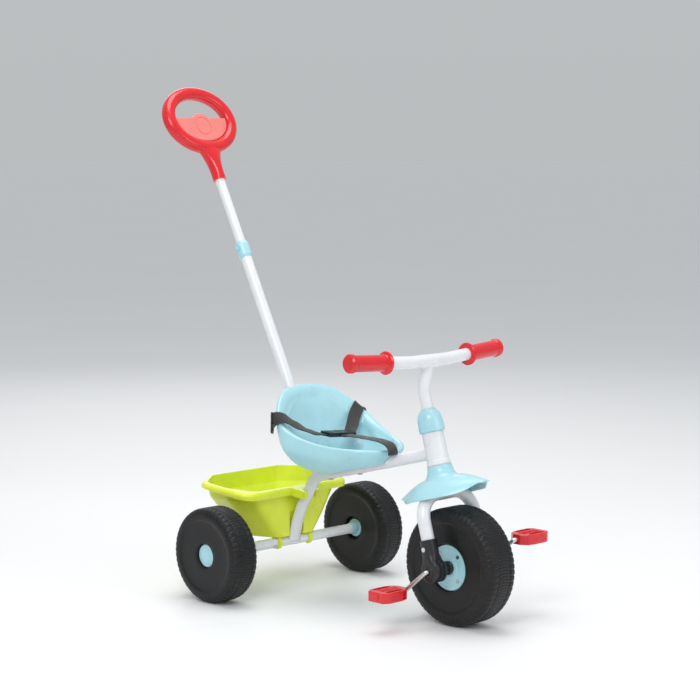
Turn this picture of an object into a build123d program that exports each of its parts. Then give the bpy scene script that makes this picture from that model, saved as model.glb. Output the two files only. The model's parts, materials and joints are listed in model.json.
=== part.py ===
from build123d import *
import os
from math import cos, radians, sin

os.makedirs("parts", exist_ok=True)

# ---------------------------------------------------------------------------
# Driving dimensions, in millimetres. +X is forward, +Y is the rider's left, +Z is up, and the
# ground is Z = 0. Distances called "ahead" are measured forward of the rear axle.
# ---------------------------------------------------------------------------
REAR_AXLE_X = -121.0  # puts the origin under the middle of the whole tricycle
SIDES = {"left": 1, "right": -1}  # the sign of Y on each side

REAR_RADIUS = 90.0
REAR_WIDTH = 61.5
REAR_TRACK = 392.0  # between the rear wheels' centres
FRONT_RADIUS = 107.0
FRONT_WIDTH = 73.0
WHEELBASE = 443.7
STEER_TILT = 16.3  # degrees back from vertical
POLE_TILT = 27.2  # degrees back from vertical
CRANK_ANGLE = 40.0  # degrees of the cranks from the horizontal, at rest

TUBE_WALL = 1.5
AXLE_R = 4.0  # both axles are 8 mm rod
RUNNING = 0.05  # radial clearance of a running fit
GAP = 0.4  # between faces that pass each other


def ahead(distance, height, across=0.0):
    """A point given by its distance ahead of the rear axle, its height and its Y."""
    return Vector(REAR_AXLE_X + distance, across, height)


def save(body, name):
    """Label a finished piece and write its STEP file."""
    body.label = name
    export_step(body, f"parts/{name}.step")


def sweep_tube(points, bend, outer_r, inner_r=0.0):
    """Sweep a round tube along straight runs joined by arcs, in the part that is open."""
    with BuildLine() as route:
        if bend:
            FilletPolyline(*points, radius=bend)
        else:
            Polyline(*points)
    with BuildSketch(Plane(origin=route.line @ 0, z_dir=route.line % 0)) as section:
        Circle(outer_r)
        if inner_r:
            Circle(inner_r, mode=Mode.SUBTRACT)
    sweep(section.sketch, path=route.line)


def turn_profile(profile_plane, points, axis, arc=360.0):
    """Revolve a closed outline of (radius, height) points in the part that is open."""
    with BuildSketch(profile_plane) as outline:
        with BuildLine():
            Polyline(*points, close=True)
        make_face()
    revolve(outline.sketch, axis=axis, revolution_arc=arc)


def cylinder_cut(centre, direction, radius, reach):
    """Cut a round hole that runs to the same reach on both sides of its centre."""
    with BuildSketch(Plane(origin=centre, z_dir=direction)) as mouth:
        Circle(radius)
    extrude(mouth.sketch, amount=reach, both=True, mode=Mode.SUBTRACT)


# ---------------------------------------------------------------------------
# Axes that the pieces share
# ---------------------------------------------------------------------------
ACROSS = Vector(0, 1, 0)
REAR_AXLE = ahead(0, REAR_RADIUS)
FRONT_AXLE = ahead(WHEELBASE, FRONT_RADIUS)

steer_up = Vector(-sin(radians(STEER_TILT)), 0, cos(radians(STEER_TILT)))
steer_fore = Vector(cos(radians(STEER_TILT)), 0, sin(radians(STEER_TILT)))
steer = Plane(origin=FRONT_AXLE, x_dir=steer_fore, z_dir=steer_up)
steer_profile = Plane(origin=FRONT_AXLE, x_dir=steer_fore, z_dir=steer_fore.cross(steer_up))
steer_axis = Axis(FRONT_AXLE, steer_up)

pole_up = Vector(-sin(radians(POLE_TILT)), 0, cos(radians(POLE_TILT)))
pole_fore = Vector(cos(radians(POLE_TILT)), 0, sin(radians(POLE_TILT)))
POLE_FOOT = ahead(80.3, 228)
pole_profile = Plane(origin=POLE_FOOT, x_dir=pole_fore, z_dir=pole_fore.cross(pole_up))
pole_axis = Axis(POLE_FOOT, pole_up)


def on_steer(fore, across, up):
    """A point in the steering frame: before the steering axis, across it and up along it."""
    return FRONT_AXLE + steer_fore * fore + ACROSS * across + steer_up * up


def on_pole(up):
    """A point on the push pole's axis, at a distance up from its foot."""
    return POLE_FOOT + pole_up * up


def outboard_plane(centre, side):
    """Local X is forward and local Y points away from the tricycle's middle."""
    return Plane(origin=centre, x_dir=(1, 0, 0), z_dir=(0, 0, side))


# ---------------------------------------------------------------------------
# Frame: head tube, backbone bent down to the rear axle, axle tube and pole socket
# ---------------------------------------------------------------------------
HEAD_LOW = 188.6  # heights along the steering axis, from the front axle
HEAD_HIGH = 244.3
HEAD_R = 20.0
HEAD_BORE_R = 17.5
STEM_R = 11.0

BACKBONE_R = 11.0
BACKBONE_FRONT = ahead(386, 304.9)
BACKBONE_KNEE = ahead(68, 224.2)
BACKBONE_BEND = 42.0
SQUASH_START = 0.42  # share of the way down the rear leg where the tube starts to flatten
SQUASH = [(0.0, 11.0, 11.0), (0.5, 13.2, 9.4), (1.0, 15.5, 7.4)]  # share, half width, half depth
LEG_BEND = ahead(25.2, 150.9)
LEG_FOOT = ahead(5.5, 91)

BACKBONE_DIR = (BACKBONE_KNEE - BACKBONE_FRONT).normalized()
BACKBONE_UP = BACKBONE_DIR.cross(ACROSS) * -1

AXLE_TUBE_R = 9.75
AXLE_TUBE_HALF = 172.0
SET_SCREW_R = 2.0
SET_SCREW_PLACE = REAR_AXLE - ACROSS * 52
SET_SCREW_OUT = Vector(cos(radians(35)), 0, -sin(radians(35)))
REAR_ROD_HALF = REAR_TRACK / 2 + 16.5

POLE_LOWER_R = 11.0
SOCKET_R = 13.5
SOCKET_TOP = 62.0

SCREW_R = 2.5
SEAT_SCREWS = [BACKBONE_FRONT + BACKBONE_DIR * reach for reach in (205.0, 285.0)]

with BuildPart() as head_tube:
    turn_profile(
        steer_profile,
        [
            (HEAD_BORE_R, HEAD_LOW),
            (HEAD_R + 1.2, HEAD_LOW),
            (HEAD_R + 1.2, HEAD_LOW + 3),
            (HEAD_R, HEAD_LOW + 6),
            (HEAD_R, HEAD_HIGH),
            (HEAD_BORE_R, HEAD_HIGH),
        ],
        steer_axis,
    )
save(head_tube.part, "head_tube")

leg_line = LEG_BEND - BACKBONE_KNEE
squash_top = BACKBONE_KNEE + leg_line * SQUASH_START


def squashed(share, half_width, half_depth, wall):
    """One cross-section of the backbone's rear leg, flattened front to back."""
    with BuildLine() as route:
        Spline(squash_top, LEG_BEND, LEG_FOOT, tangents=(leg_line, Vector(-0.22, 0, -1)))
    here = Plane(origin=route.line @ share, x_dir=(0, 1, 0), z_dir=route.line % share)
    with BuildSketch(here) as section:
        Ellipse(half_width - wall, half_depth - wall)
    return section.sketch


with BuildPart() as backbone:
    backbone_run = [BACKBONE_FRONT, BACKBONE_KNEE, squash_top]
    sweep_tube(backbone_run, BACKBONE_BEND, BACKBONE_R, BACKBONE_R - TUBE_WALL)
    loft([squashed(*place, 0) for place in SQUASH])
    loft([squashed(*place, TUBE_WALL) for place in SQUASH], mode=Mode.SUBTRACT)
    cylinder_cut(on_steer(0, 0, HEAD_LOW), steer_up, HEAD_R, HEAD_HIGH - HEAD_LOW)
    cylinder_cut(REAR_AXLE, ACROSS, AXLE_TUBE_R, BACKBONE_R * 2)
    for foot in SEAT_SCREWS:
        cylinder_cut(foot, BACKBONE_UP, SCREW_R, BACKBONE_R * 2)
save(backbone.part, "backbone")

with BuildPart() as rear_axle_tube:
    with BuildSketch(Plane(origin=REAR_AXLE, z_dir=ACROSS)):
        Circle(AXLE_TUBE_R)
        Circle(AXLE_TUBE_R - TUBE_WALL, mode=Mode.SUBTRACT)
    extrude(amount=AXLE_TUBE_HALF, both=True)
    with BuildSketch(Plane(origin=SET_SCREW_PLACE, z_dir=SET_SCREW_OUT)) as set_screw_hole:
        Circle(SET_SCREW_R)
    extrude(set_screw_hole.sketch, amount=AXLE_TUBE_R + 1, mode=Mode.SUBTRACT)
save(rear_axle_tube.part, "rear_axle_tube")

with BuildPart() as rear_axle_rod:
    with BuildSketch(Plane(origin=REAR_AXLE, z_dir=ACROSS)):
        Circle(AXLE_R)
    extrude(amount=REAR_ROD_HALF, both=True)
    chamfer(rear_axle_rod.edges(), 0.8)
save(rear_axle_rod.part, "rear_axle_rod")

# It keeps the axle rod from turning in the tube.
with BuildPart() as axle_set_screw:
    grub_foot = SET_SCREW_PLACE + SET_SCREW_OUT * (AXLE_R + 0.2)
    with BuildSketch(Plane(origin=grub_foot, z_dir=SET_SCREW_OUT)) as grub:
        Circle(SET_SCREW_R)
    extrude(grub.sketch, amount=AXLE_TUBE_R - AXLE_R)
    head_foot = SET_SCREW_PLACE + SET_SCREW_OUT * AXLE_TUBE_R
    with BuildSketch(Plane(origin=head_foot, z_dir=SET_SCREW_OUT)) as grub_head:
        Circle(SET_SCREW_R + 1.8)
    extrude(grub_head.sketch, amount=2.2)
    fillet(axle_set_screw.edges().sort_by(Axis(SET_SCREW_PLACE, SET_SCREW_OUT))[-1], 0.8)
save(axle_set_screw.part, "axle_set_screw")

with BuildPart() as pole_socket:
    with BuildSketch(Plane(origin=POLE_FOOT, z_dir=pole_up)):
        Circle(SOCKET_R)
        Circle(POLE_LOWER_R, mode=Mode.SUBTRACT)
    extrude(amount=SOCKET_TOP)
    fillet(pole_socket.edges().group_by(Axis(POLE_FOOT, pole_up))[-1], 0.8)
    with BuildSketch(Plane(origin=BACKBONE_FRONT, z_dir=BACKBONE_DIR)) as passing:
        Circle(BACKBONE_R)
    extrude(passing.sketch, amount=(BACKBONE_FRONT - BACKBONE_KNEE).length * 1.1, mode=Mode.SUBTRACT)
save(pole_socket.part, "pole_socket")

# ---------------------------------------------------------------------------
# Wheels: blow-moulded shells with moulded tread, carried on plastic cores
# ---------------------------------------------------------------------------
SHELL = 3.0  # wall of the moulded wheels
TREAD = 3.0  # how far the tread blocks stand out
SHOULDER = 12.0
CORE_R = 12.6
DISH_R = 25.0  # the recess round each rear hub
DISH_DEEP = 11.8
CAP_R = 21.6
DISC_R = 42.0
DISC_DEEP = 11.0


def wheel_section(radius, half_width, shoulder, dish_r, dish_face, hole_r):
    """Half outline of a hollow wheel, open at its two hub holes: (radius, outboard) points."""
    base = radius - TREAD
    ring = 0.8 * radius
    outer = [
        (base, 0),
        (base, half_width - shoulder),
        (base - 0.3 * shoulder, half_width - 0.3 * shoulder),
        (base - shoulder, half_width),
        (ring, half_width),
        (ring - 1.5, half_width - 1.5),
        (dish_r + 2, half_width - 1.5),
        (dish_r, half_width - 3),
        (dish_r, dish_face),
        (hole_r, dish_face),
    ]
    inner = [
        (hole_r, dish_face - SHELL),
        (dish_r + SHELL, dish_face - SHELL),
        (dish_r + SHELL, half_width - 1.5 - SHELL),
        (base - shoulder, half_width - 1.5 - SHELL),
        (base - SHELL, half_width - shoulder),
        (base - SHELL, 0),
    ]
    return outer, inner


def wheel_outline(radius, half_width, shoulder, outboard, inboard):
    """The closed outline of a wheel's wall, from its outboard hub hole round to its inboard one."""
    out_skin, out_lining = wheel_section(radius, half_width, shoulder, *outboard)
    in_skin, in_lining = wheel_section(radius, half_width, shoulder, *inboard)
    skin = [*reversed(out_skin), *[(r, -h) for r, h in in_skin[1:]]]
    lining = [*[(r, -h) for r, h in in_lining], *reversed(out_lining[:-1])]
    return skin + lining


def tread_block(radius, half_width, shoulder, inner_edge, arc):
    """One block: a short arc of the tread that wraps over the shoulder, about the local Z axis."""
    base = radius - TREAD
    sunk = 1.0
    points = [
        (base - sunk, inner_edge),
        (radius, inner_edge),
        (radius, half_width - shoulder),
        (radius - 0.3 * shoulder, half_width - 0.3 * shoulder),
        (base - shoulder + 1, half_width),
        (base - shoulder, half_width - sunk),
        (base - 0.3 * shoulder - sunk, half_width - 0.3 * shoulder - sunk),
        (base - sunk, half_width - shoulder),
    ]
    with BuildPart() as block:
        turn_profile(Plane.XZ, points, Axis.Z, arc)
    return block.part


def block_rings(block, centre, count):
    """Tread blocks round both shoulders, the two rings half a pitch apart."""
    pitch = 360 / count
    outer = Plane(origin=centre, x_dir=(1, 0, 0), z_dir=(0, 1, 0)).location
    inner = Plane(origin=centre, x_dir=(1, 0, 0), z_dir=(0, -1, 0)).location
    near = [outer * Rot(0, 0, pitch * turn) * block for turn in range(count)]
    far = [inner * Rot(0, 0, pitch * (turn + 0.5)) * block for turn in range(count)]
    return near + far


REAR_BLOCKS = 30
FRONT_BLOCKS = 36
rear_half = REAR_WIDTH / 2
front_half = FRONT_WIDTH / 2
rear_block = tread_block(REAR_RADIUS, rear_half, SHOULDER, 9.0, 8.0)
front_block = tread_block(FRONT_RADIUS, front_half, SHOULDER * 1.25, 11.0, 7.0)

REAR_CORE_OUT = 12.4
REAR_CORE_IN = 18.15
NUT_R = 8.0
CAP_FACE = 21.4
SLEEVE_FLANGE_R = 17.5
SLEEVE_FACE = REAR_TRACK / 2 - REAR_CORE_IN - 1.2

for side_name, side in SIDES.items():
    hub = REAR_AXLE + ACROSS * (side * REAR_TRACK / 2)
    wheel_plane = outboard_plane(hub, side)
    wheel_axis = Axis(hub, ACROSS)

    with BuildPart() as rear_wheel:
        dish = (DISH_R, rear_half - DISH_DEEP, CORE_R)
        turn_profile(wheel_plane, wheel_outline(REAR_RADIUS, rear_half, SHOULDER, dish, dish), wheel_axis)
        add(block_rings(rear_block, hub, REAR_BLOCKS))
    save(rear_wheel.part, f"rear_wheel_{side_name}")

    # The core runs on the rod, and its inboard flange bears on the axle sleeve.
    with BuildPart() as rear_core:
        turn_profile(
            wheel_plane,
            [
                (AXLE_R + RUNNING, -REAR_CORE_IN - 0.8),
                (CORE_R, -REAR_CORE_IN - 0.8),
                (CORE_R, REAR_CORE_OUT),
                (AXLE_R + RUNNING, REAR_CORE_OUT),
            ],
            wheel_axis,
        )
    save(rear_core.part, f"rear_core_{side_name}")

    with BuildPart() as hub_cap:
        turn_profile(
            wheel_plane,
            [
                (0, CAP_FACE),
                (CAP_R - 2.5, CAP_FACE - 0.4),
                (CAP_R, CAP_FACE - 2),
                (CAP_R, CAP_FACE - 2.45),
                (CORE_R, CAP_FACE - 2.45),
                (CORE_R, REAR_CORE_OUT),
                (NUT_R + 2, REAR_CORE_OUT),
                (NUT_R + 2, CAP_FACE - 3),
                (0, CAP_FACE - 3),
            ],
            wheel_axis,
        )
    save(hub_cap.part, f"hub_cap_{side_name}")

    with BuildPart() as axle_sleeve:
        turn_profile(
            Plane(origin=REAR_AXLE, x_dir=(1, 0, 0), z_dir=(0, 0, side)),
            [
                (AXLE_R, AXLE_TUBE_HALF),
                (AXLE_R, SLEEVE_FACE),
                (SLEEVE_FLANGE_R - 1, SLEEVE_FACE),
                (SLEEVE_FLANGE_R, SLEEVE_FACE - 1),
                (SLEEVE_FLANGE_R, SLEEVE_FACE - 3),
                (SLEEVE_FLANGE_R - 4.5, SLEEVE_FACE - 5),
                (AXLE_TUBE_R + 1, SLEEVE_FACE - 18),
                (AXLE_TUBE_R, SLEEVE_FACE - 18),
                (AXLE_TUBE_R, AXLE_TUBE_HALF),
            ],
            wheel_axis,
        )
    save(axle_sleeve.part, f"axle_sleeve_{side_name}")

NUT_FACE = REAR_TRACK / 2 + REAR_CORE_OUT + GAP
with BuildPart() as axle_nuts:
    for side in SIDES.values():
        with BuildSketch(Plane(origin=REAR_AXLE + ACROSS * (side * NUT_FACE), z_dir=ACROSS * side)):
            Circle(NUT_R)
            Circle(AXLE_R, mode=Mode.SUBTRACT)
        extrude(amount=2.4)
save(axle_nuts.part, "axle_nuts")

with BuildPart() as front_wheel:
    seat = (DISC_R + 2, front_half - DISC_DEEP, CORE_R)
    turn_profile(
        outboard_plane(FRONT_AXLE, 1),
        wheel_outline(FRONT_RADIUS, front_half, SHOULDER * 1.25, seat, seat),
        Axis(FRONT_AXLE, ACROSS),
    )
    add(block_rings(front_block, FRONT_AXLE, FRONT_BLOCKS))
save(front_wheel.part, "front_wheel")

# ---------------------------------------------------------------------------
# Front hub, cranks and pedals
# ---------------------------------------------------------------------------
DISC_FACE = 30.0  # outboard face of the coloured hub discs, from the wheel's middle
DISC_BORE_R = CORE_R
CORE_HALF = 36.0
DISC_SCREW_PCR = 31.0
DISC_SCREW_R = 3.4
ARM_LENGTH = 62.0
ARM_ACROSS = 91.0  # the crank arms, from the middle
PIN_END = 165.5
ARM_BEND = 5.3

PEDAL_IN = 99.5
PEDAL_OUT = 168.0
PEDAL_HALF_LONG = 25.0
PEDAL_HALF_HIGH = 9.5

with BuildPart() as front_core:
    with BuildSketch(Plane(origin=FRONT_AXLE, z_dir=ACROSS)):
        Circle(CORE_R)
        Circle(AXLE_R, mode=Mode.SUBTRACT)
    extrude(amount=CORE_HALF, both=True)
    chamfer(front_core.edges().group_by(Axis.Y)[0] + front_core.edges().group_by(Axis.Y)[-1], 0.8)
save(front_core.part, "front_core")

for side_name, side in SIDES.items():
    disc_plane = outboard_plane(FRONT_AXLE, side)
    with BuildPart() as hub_disc:
        turn_profile(
            disc_plane,
            [
                (DISC_BORE_R, front_half - DISC_DEEP),
                (DISC_R, front_half - DISC_DEEP),
                (DISC_R, DISC_FACE - 1.5),
                (DISC_R - 1.5, DISC_FACE),
                (DISC_R - 6, DISC_FACE),
                (DISC_R - 7.5, DISC_FACE - 1),
                (DISC_BORE_R + 7, DISC_FACE - 1),
                (DISC_BORE_R + 5, DISC_FACE),
                (DISC_BORE_R, DISC_FACE),
            ],
            Axis(FRONT_AXLE, ACROSS),
        )
    save(hub_disc.part, f"hub_disc_{side_name}")

with BuildPart() as hub_screws:
    for side in SIDES.values():
        disc_middle = FRONT_AXLE + ACROSS * (side * (DISC_FACE - 1))
        with BuildSketch(Plane(origin=disc_middle, x_dir=(1, 0, 0), z_dir=ACROSS * side)) as heads:
            with PolarLocations(DISC_SCREW_PCR, 4, start_angle=45):
                Circle(DISC_SCREW_R)
        extrude(heads.sketch, amount=1.4)
save(hub_screws.part, "hub_screws")

arm_fore = -cos(radians(CRANK_ANGLE)) * ARM_LENGTH  # the right arm points back and down
arm_up = -sin(radians(CRANK_ANGLE)) * ARM_LENGTH
crank_throw = Vector(arm_fore, 0, arm_up)
PEDAL_PINS = {side_name: FRONT_AXLE - crank_throw * side for side_name, side in SIDES.items()}

with BuildPart() as crank:
    crank_points = [
        PEDAL_PINS["left"] + ACROSS * PIN_END,
        PEDAL_PINS["left"] + ACROSS * (ARM_ACROSS + 2),
        FRONT_AXLE + ACROSS * (ARM_ACROSS - 1),
        FRONT_AXLE - ACROSS * (ARM_ACROSS - 1),
        PEDAL_PINS["right"] - ACROSS * (ARM_ACROSS + 2),
        PEDAL_PINS["right"] - ACROSS * PIN_END,
    ]
    sweep_tube(crank_points, ARM_BEND, AXLE_R)
save(crank.part, "crank")

for side_name, side in SIDES.items():
    pin = PEDAL_PINS[side_name]
    pedal_plane = Plane(origin=pin, x_dir=ACROSS * side, z_dir=(0, 0, side))
    with BuildPart() as pedal:
        with BuildSketch(pedal_plane) as tread_shape:
            with BuildLine():
                Polyline(
                    (PEDAL_IN, 8),
                    (PEDAL_IN + 10, PEDAL_HALF_LONG - 4),
                    (PEDAL_IN + 24, PEDAL_HALF_LONG),
                    (PEDAL_OUT - 12, PEDAL_HALF_LONG),
                    (PEDAL_OUT, PEDAL_HALF_LONG - 7),
                    (PEDAL_OUT, 7 - PEDAL_HALF_LONG),
                    (PEDAL_OUT - 12, -PEDAL_HALF_LONG),
                    (PEDAL_IN + 24, -PEDAL_HALF_LONG),
                    (PEDAL_IN + 10, 4 - PEDAL_HALF_LONG),
                    (PEDAL_IN, -8),
                    close=True,
                )
            make_face()
            fillet(tread_shape.vertices(), 3)
        extrude(amount=PEDAL_HALF_HIGH, both=True)
        fillet(pedal.faces().filter_by(Axis.Z).edges(), 2)
        with BuildSketch(pedal_plane) as windows:
            with GridLocations(0, 2 * PEDAL_HALF_LONG - 18, 1, 2):
                with Locations(((PEDAL_IN + PEDAL_OUT) / 2 + 3, 0)):
                    SlotOverall(40, 9)
        extrude(amount=PEDAL_HALF_HIGH, both=True, mode=Mode.SUBTRACT)
        cylinder_cut(pin, ACROSS, AXLE_R + RUNNING, PEDAL_OUT + 1)
    save(pedal.part, f"pedal_{side_name}")

    with BuildPart() as pedal_plug:
        with BuildSketch(Plane(origin=pin + ACROSS * (side * (PIN_END + GAP)), z_dir=ACROSS * side)):
            Circle(AXLE_R + RUNNING)
        extrude(amount=PEDAL_OUT - PIN_END - GAP)
        with BuildSketch(Plane(origin=pin + ACROSS * (side * PEDAL_OUT), z_dir=ACROSS * side)):
            Circle(AXLE_R + 3)
        extrude(amount=1.6)
        fillet(pedal_plug.edges().group_by(Axis(pin, ACROSS * side))[-1], 1)
    save(pedal_plug.part, f"pedal_plug_{side_name}")

# ---------------------------------------------------------------------------
# Fork, with the moulded covers that carry the front axle
# ---------------------------------------------------------------------------
FORK_TUBE_R = 12.0
FORK_HALF = 67.0
FORK_BEND = 45.0
FORK_TOP = 133.0
LEG_END = 24.0  # the legs stop this far above the axle, inside the covers
STEM_FOOT = FORK_TOP + FORK_TUBE_R
COVER_TOP = 56.0
COVER_HALF_WIDE = 15.0
COVER_FOOT_R = 21.0
COVER_HALF_THICK = 15.5
COVER_SCREW_UP = 40.0

with BuildPart() as fork:
    fork_points = [
        on_steer(0, FORK_HALF, LEG_END),
        on_steer(0, FORK_HALF, FORK_TOP),
        on_steer(0, -FORK_HALF, FORK_TOP),
        on_steer(0, -FORK_HALF, LEG_END),
    ]
    sweep_tube(fork_points, FORK_BEND, FORK_TUBE_R, FORK_TUBE_R - TUBE_WALL)
    with BuildSketch(steer.offset(FORK_TOP + FORK_TUBE_R - 4)) as steerer:
        Circle(STEM_R + 4)
        Circle(STEM_R, mode=Mode.SUBTRACT)
    extrude(steerer.sketch, amount=30)
save(fork.part, "fork")

for side_name, side in SIDES.items():
    middle = FORK_HALF * side
    for half_name, step in {"outer": side, "inner": -side}.items():
        cover_plane = Plane(origin=on_steer(0, middle, 0), x_dir=steer_fore * -step, z_dir=ACROSS * step)
        with BuildPart() as cover:
            with BuildSketch(cover_plane) as paddle:
                with BuildLine():
                    foot = Line((COVER_HALF_WIDE, COVER_TOP), (COVER_FOOT_R, 0))
                    ThreePointArc(foot @ 1, (0, -COVER_FOOT_R), (-COVER_FOOT_R, 0))
                    Line((-COVER_FOOT_R, 0), (-COVER_HALF_WIDE, COVER_TOP))
                    Line((-COVER_HALF_WIDE, COVER_TOP), (COVER_HALF_WIDE, COVER_TOP))
                make_face()
            extrude(amount=COVER_HALF_THICK)
            fillet(cover.faces().sort_by(Axis((0, 0, 0), ACROSS * step))[-1].edges(), 5)
            with BuildSketch(cover_plane) as boss:
                Circle(10)
            extrude(boss.sketch, amount=COVER_HALF_THICK + (2 if half_name == "outer" else 14))
            cylinder_cut(on_steer(0, middle, LEG_END + 50), steer_up, FORK_TUBE_R, 50)
            cylinder_cut(FRONT_AXLE, ACROSS, AXLE_R + RUNNING, ARM_ACROSS)
            if half_name == "outer":
                cylinder_cut(on_steer(0, middle, COVER_SCREW_UP), ACROSS, SCREW_R, COVER_HALF_THICK + 1)
        save(cover.part, f"fork_cover_{half_name}_{side_name}")

with BuildPart() as cover_screws:
    for side in SIDES.values():
        screw_face = on_steer(0, side * (FORK_HALF + COVER_HALF_THICK), COVER_SCREW_UP)
        with BuildSketch(Plane(origin=screw_face, z_dir=ACROSS * side)) as head:
            Circle(4.2)
        extrude(head.sketch, amount=1.8)
        with BuildSketch(Plane(origin=screw_face, z_dir=ACROSS * side)) as shank:
            Circle(SCREW_R)
        extrude(shank.sketch, amount=-3.2)
save(cover_screws.part, "cover_screws")

# ---------------------------------------------------------------------------
# Headset, stem, handlebar and grips
# ---------------------------------------------------------------------------
BUSH_LOW = HEAD_LOW - 4.6
BUSH_LENGTH = 14.0
CAP_R_LOW = 23.3
CAP_TOP = 288.1
STEM_KNEE = on_steer(0, 0, 325.9)
BAR_CENTRE = ahead(364.6, 471.5)
BAR_END = ahead(357, 480, 193)
BAR_FLAT = 48.0
SADDLE_HALF = 22.0
BAR_R = 11.5
GRIP_IN = 105.0
GRIP_R = 15.0

with BuildPart() as headset_bush_lower:
    turn_profile(
        steer_profile,
        [
            (STEM_R + RUNNING, BUSH_LOW),
            (HEAD_R + 1.8, BUSH_LOW),
            (HEAD_R + 2.2, BUSH_LOW + 2.2),
            (HEAD_R + 1.4, HEAD_LOW),
            (HEAD_BORE_R, HEAD_LOW),
            (HEAD_BORE_R, HEAD_LOW + BUSH_LENGTH),
            (STEM_R + RUNNING, HEAD_LOW + BUSH_LENGTH),
        ],
        steer_axis,
    )
save(headset_bush_lower.part, "headset_bush_lower")

with BuildPart() as headset_bush_upper:
    turn_profile(
        steer_profile,
        [
            (STEM_R + RUNNING, HEAD_HIGH + 3),
            (HEAD_R - 0.6, HEAD_HIGH + 3),
            (HEAD_R - 0.6, HEAD_HIGH),
            (HEAD_BORE_R, HEAD_HIGH),
            (HEAD_BORE_R, HEAD_HIGH - BUSH_LENGTH),
            (STEM_R + RUNNING, HEAD_HIGH - BUSH_LENGTH),
        ],
        steer_axis,
    )
save(headset_bush_upper.part, "headset_bush_upper")

with BuildPart() as stem:
    stem_points = [on_steer(0, 0, STEM_FOOT), STEM_KNEE, BAR_CENTRE]
    sweep_tube(stem_points, 62, STEM_R, STEM_R - TUBE_WALL)
    cylinder_cut(BAR_CENTRE, ACROSS, BAR_R, STEM_R * 2)
save(stem.part, "stem")

# A half sleeve that spreads the weld between the stem and the handlebar.
with BuildPart() as handlebar_saddle:
    with BuildSketch(Plane(origin=BAR_CENTRE, x_dir=(1, 0, 0), z_dir=ACROSS * -1)) as cup:
        Circle(BAR_R + 2)
        Circle(BAR_R, mode=Mode.SUBTRACT)
        with Locations((0, BAR_R)):
            Rectangle(4 * BAR_R, 2 * BAR_R, mode=Mode.SUBTRACT)
    extrude(cup.sketch, amount=SADDLE_HALF, both=True)
    cylinder_cut(BAR_CENTRE, BAR_CENTRE - STEM_KNEE, STEM_R, 3 * BAR_R)
save(handlebar_saddle.part, "handlebar_saddle")

bar_points = [
    BAR_END,
    BAR_CENTRE + ACROSS * BAR_FLAT,
    BAR_CENTRE - ACROSS * BAR_FLAT,
    Vector(BAR_END.X, -BAR_END.Y, BAR_END.Z),
]
with BuildPart() as handlebar:
    sweep_tube(bar_points, 150, BAR_R, BAR_R - TUBE_WALL)
save(handlebar.part, "handlebar")

with BuildPart() as steering_cap:
    cap_skirt = HEAD_HIGH + GAP
    turn_profile(
        steer_profile,
        [
            (HEAD_R + 0.3, cap_skirt),
            (CAP_R_LOW, cap_skirt),
            (CAP_R_LOW + 0.3, cap_skirt + 5),
            (CAP_R_LOW - 0.4, cap_skirt + 24),
            (CAP_R_LOW - 1.8, cap_skirt + 30),
            (CAP_R_LOW - 4.6, cap_skirt + 35.5),
            (CAP_R_LOW - 7.8, cap_skirt + 39.5),
            (CAP_R_LOW - 10.4, CAP_TOP - 1),
            (STEM_R + 1.5, CAP_TOP),
            (STEM_R, CAP_TOP),
            (STEM_R, CAP_TOP - 5),
            (CAP_R_LOW - 8.5, CAP_TOP - 9),
            (HEAD_R + 0.3, cap_skirt + 22),
        ],
        steer_axis,
    )
save(steering_cap.part, "steering_cap")

for side_name, side in SIDES.items():
    bar_end = Vector(BAR_END.X, side * BAR_END.Y, BAR_END.Z)
    bar_inner = BAR_CENTRE + ACROSS * (side * BAR_FLAT)
    run = (bar_end - bar_inner).normalized()
    spoke = run.cross(Vector(1, 0, 0))
    start = bar_inner + run * ((GRIP_IN - BAR_FLAT) / abs(run.Y))
    length = (bar_end - start).length
    with BuildPart() as grip:
        turn_profile(
            Plane(origin=start, x_dir=spoke, z_dir=spoke.cross(run)),
            [
                (BAR_R, 0),
                (19.5, 0),
                (21, 1.5),
                (21, 4),
                (19.5, 5.5),
                (GRIP_R + 1, 7),
                (GRIP_R, 9),
                (GRIP_R, length - 9),
                (GRIP_R + 2, length - 6),
                (GRIP_R + 2, length + 1),
                (GRIP_R - 1, length + 4),
                (0, length + 5),
                (0, length),
                (BAR_R, length),
            ],
            Axis(start, run),
        )
    save(grip.part, f"grip_{side_name}")

# ---------------------------------------------------------------------------
# Mudguard: a bell round the stem that spreads into an arched brim
# ---------------------------------------------------------------------------
GUARD_WALL = 2.5
BELL_TOP = BUSH_LOW - GAP
BELL_BLEND = 8.0
# The brim's sections on one side of the steering axis: distance from it, half width, ridge and edge.
BRIM_SECTIONS = [
    (0.0, 70.0, 165.5, 126.0),
    (36.0, 59.0, 162.3, 126.0),
    (68.0, 36.0, 154.0, 127.0),
    (88.0, 20.0, 146.5, 134.0),
    (104.0, 11.0, 139.5, 136.0),
]
# Radius and height of the bell's outside, from its neck down into the brim.
BELL_LINE = [(22.5, BELL_TOP), (23.2, 178), (24.6, 172), (27.2, 166), (31.5, 160), (38, 152), (42, 148)]


def brim_solid(wall):
    """The brim as a solid leaf, smaller by the wall where it forms the hollow."""
    with BuildPart() as leaf:
        sections = []
        rear_half = [(-along, *sizes) for along, *sizes in reversed(BRIM_SECTIONS[1:])]
        for along, half, ridge, edge in rear_half + BRIM_SECTIONS:
            here = Plane(origin=on_steer(along, 0, 0), x_dir=ACROSS, z_dir=steer_fore)
            left_edge = (half - wall, edge - wall)
            right_edge = (wall - half, edge - wall)
            with BuildSketch(here) as section:
                with BuildLine():
                    ThreePointArc(right_edge, (0, ridge - wall), left_edge)
                    Line(right_edge, left_edge)
                make_face()
            sections.append(section.sketch)
        loft(sections)
    return leaf.part


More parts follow.
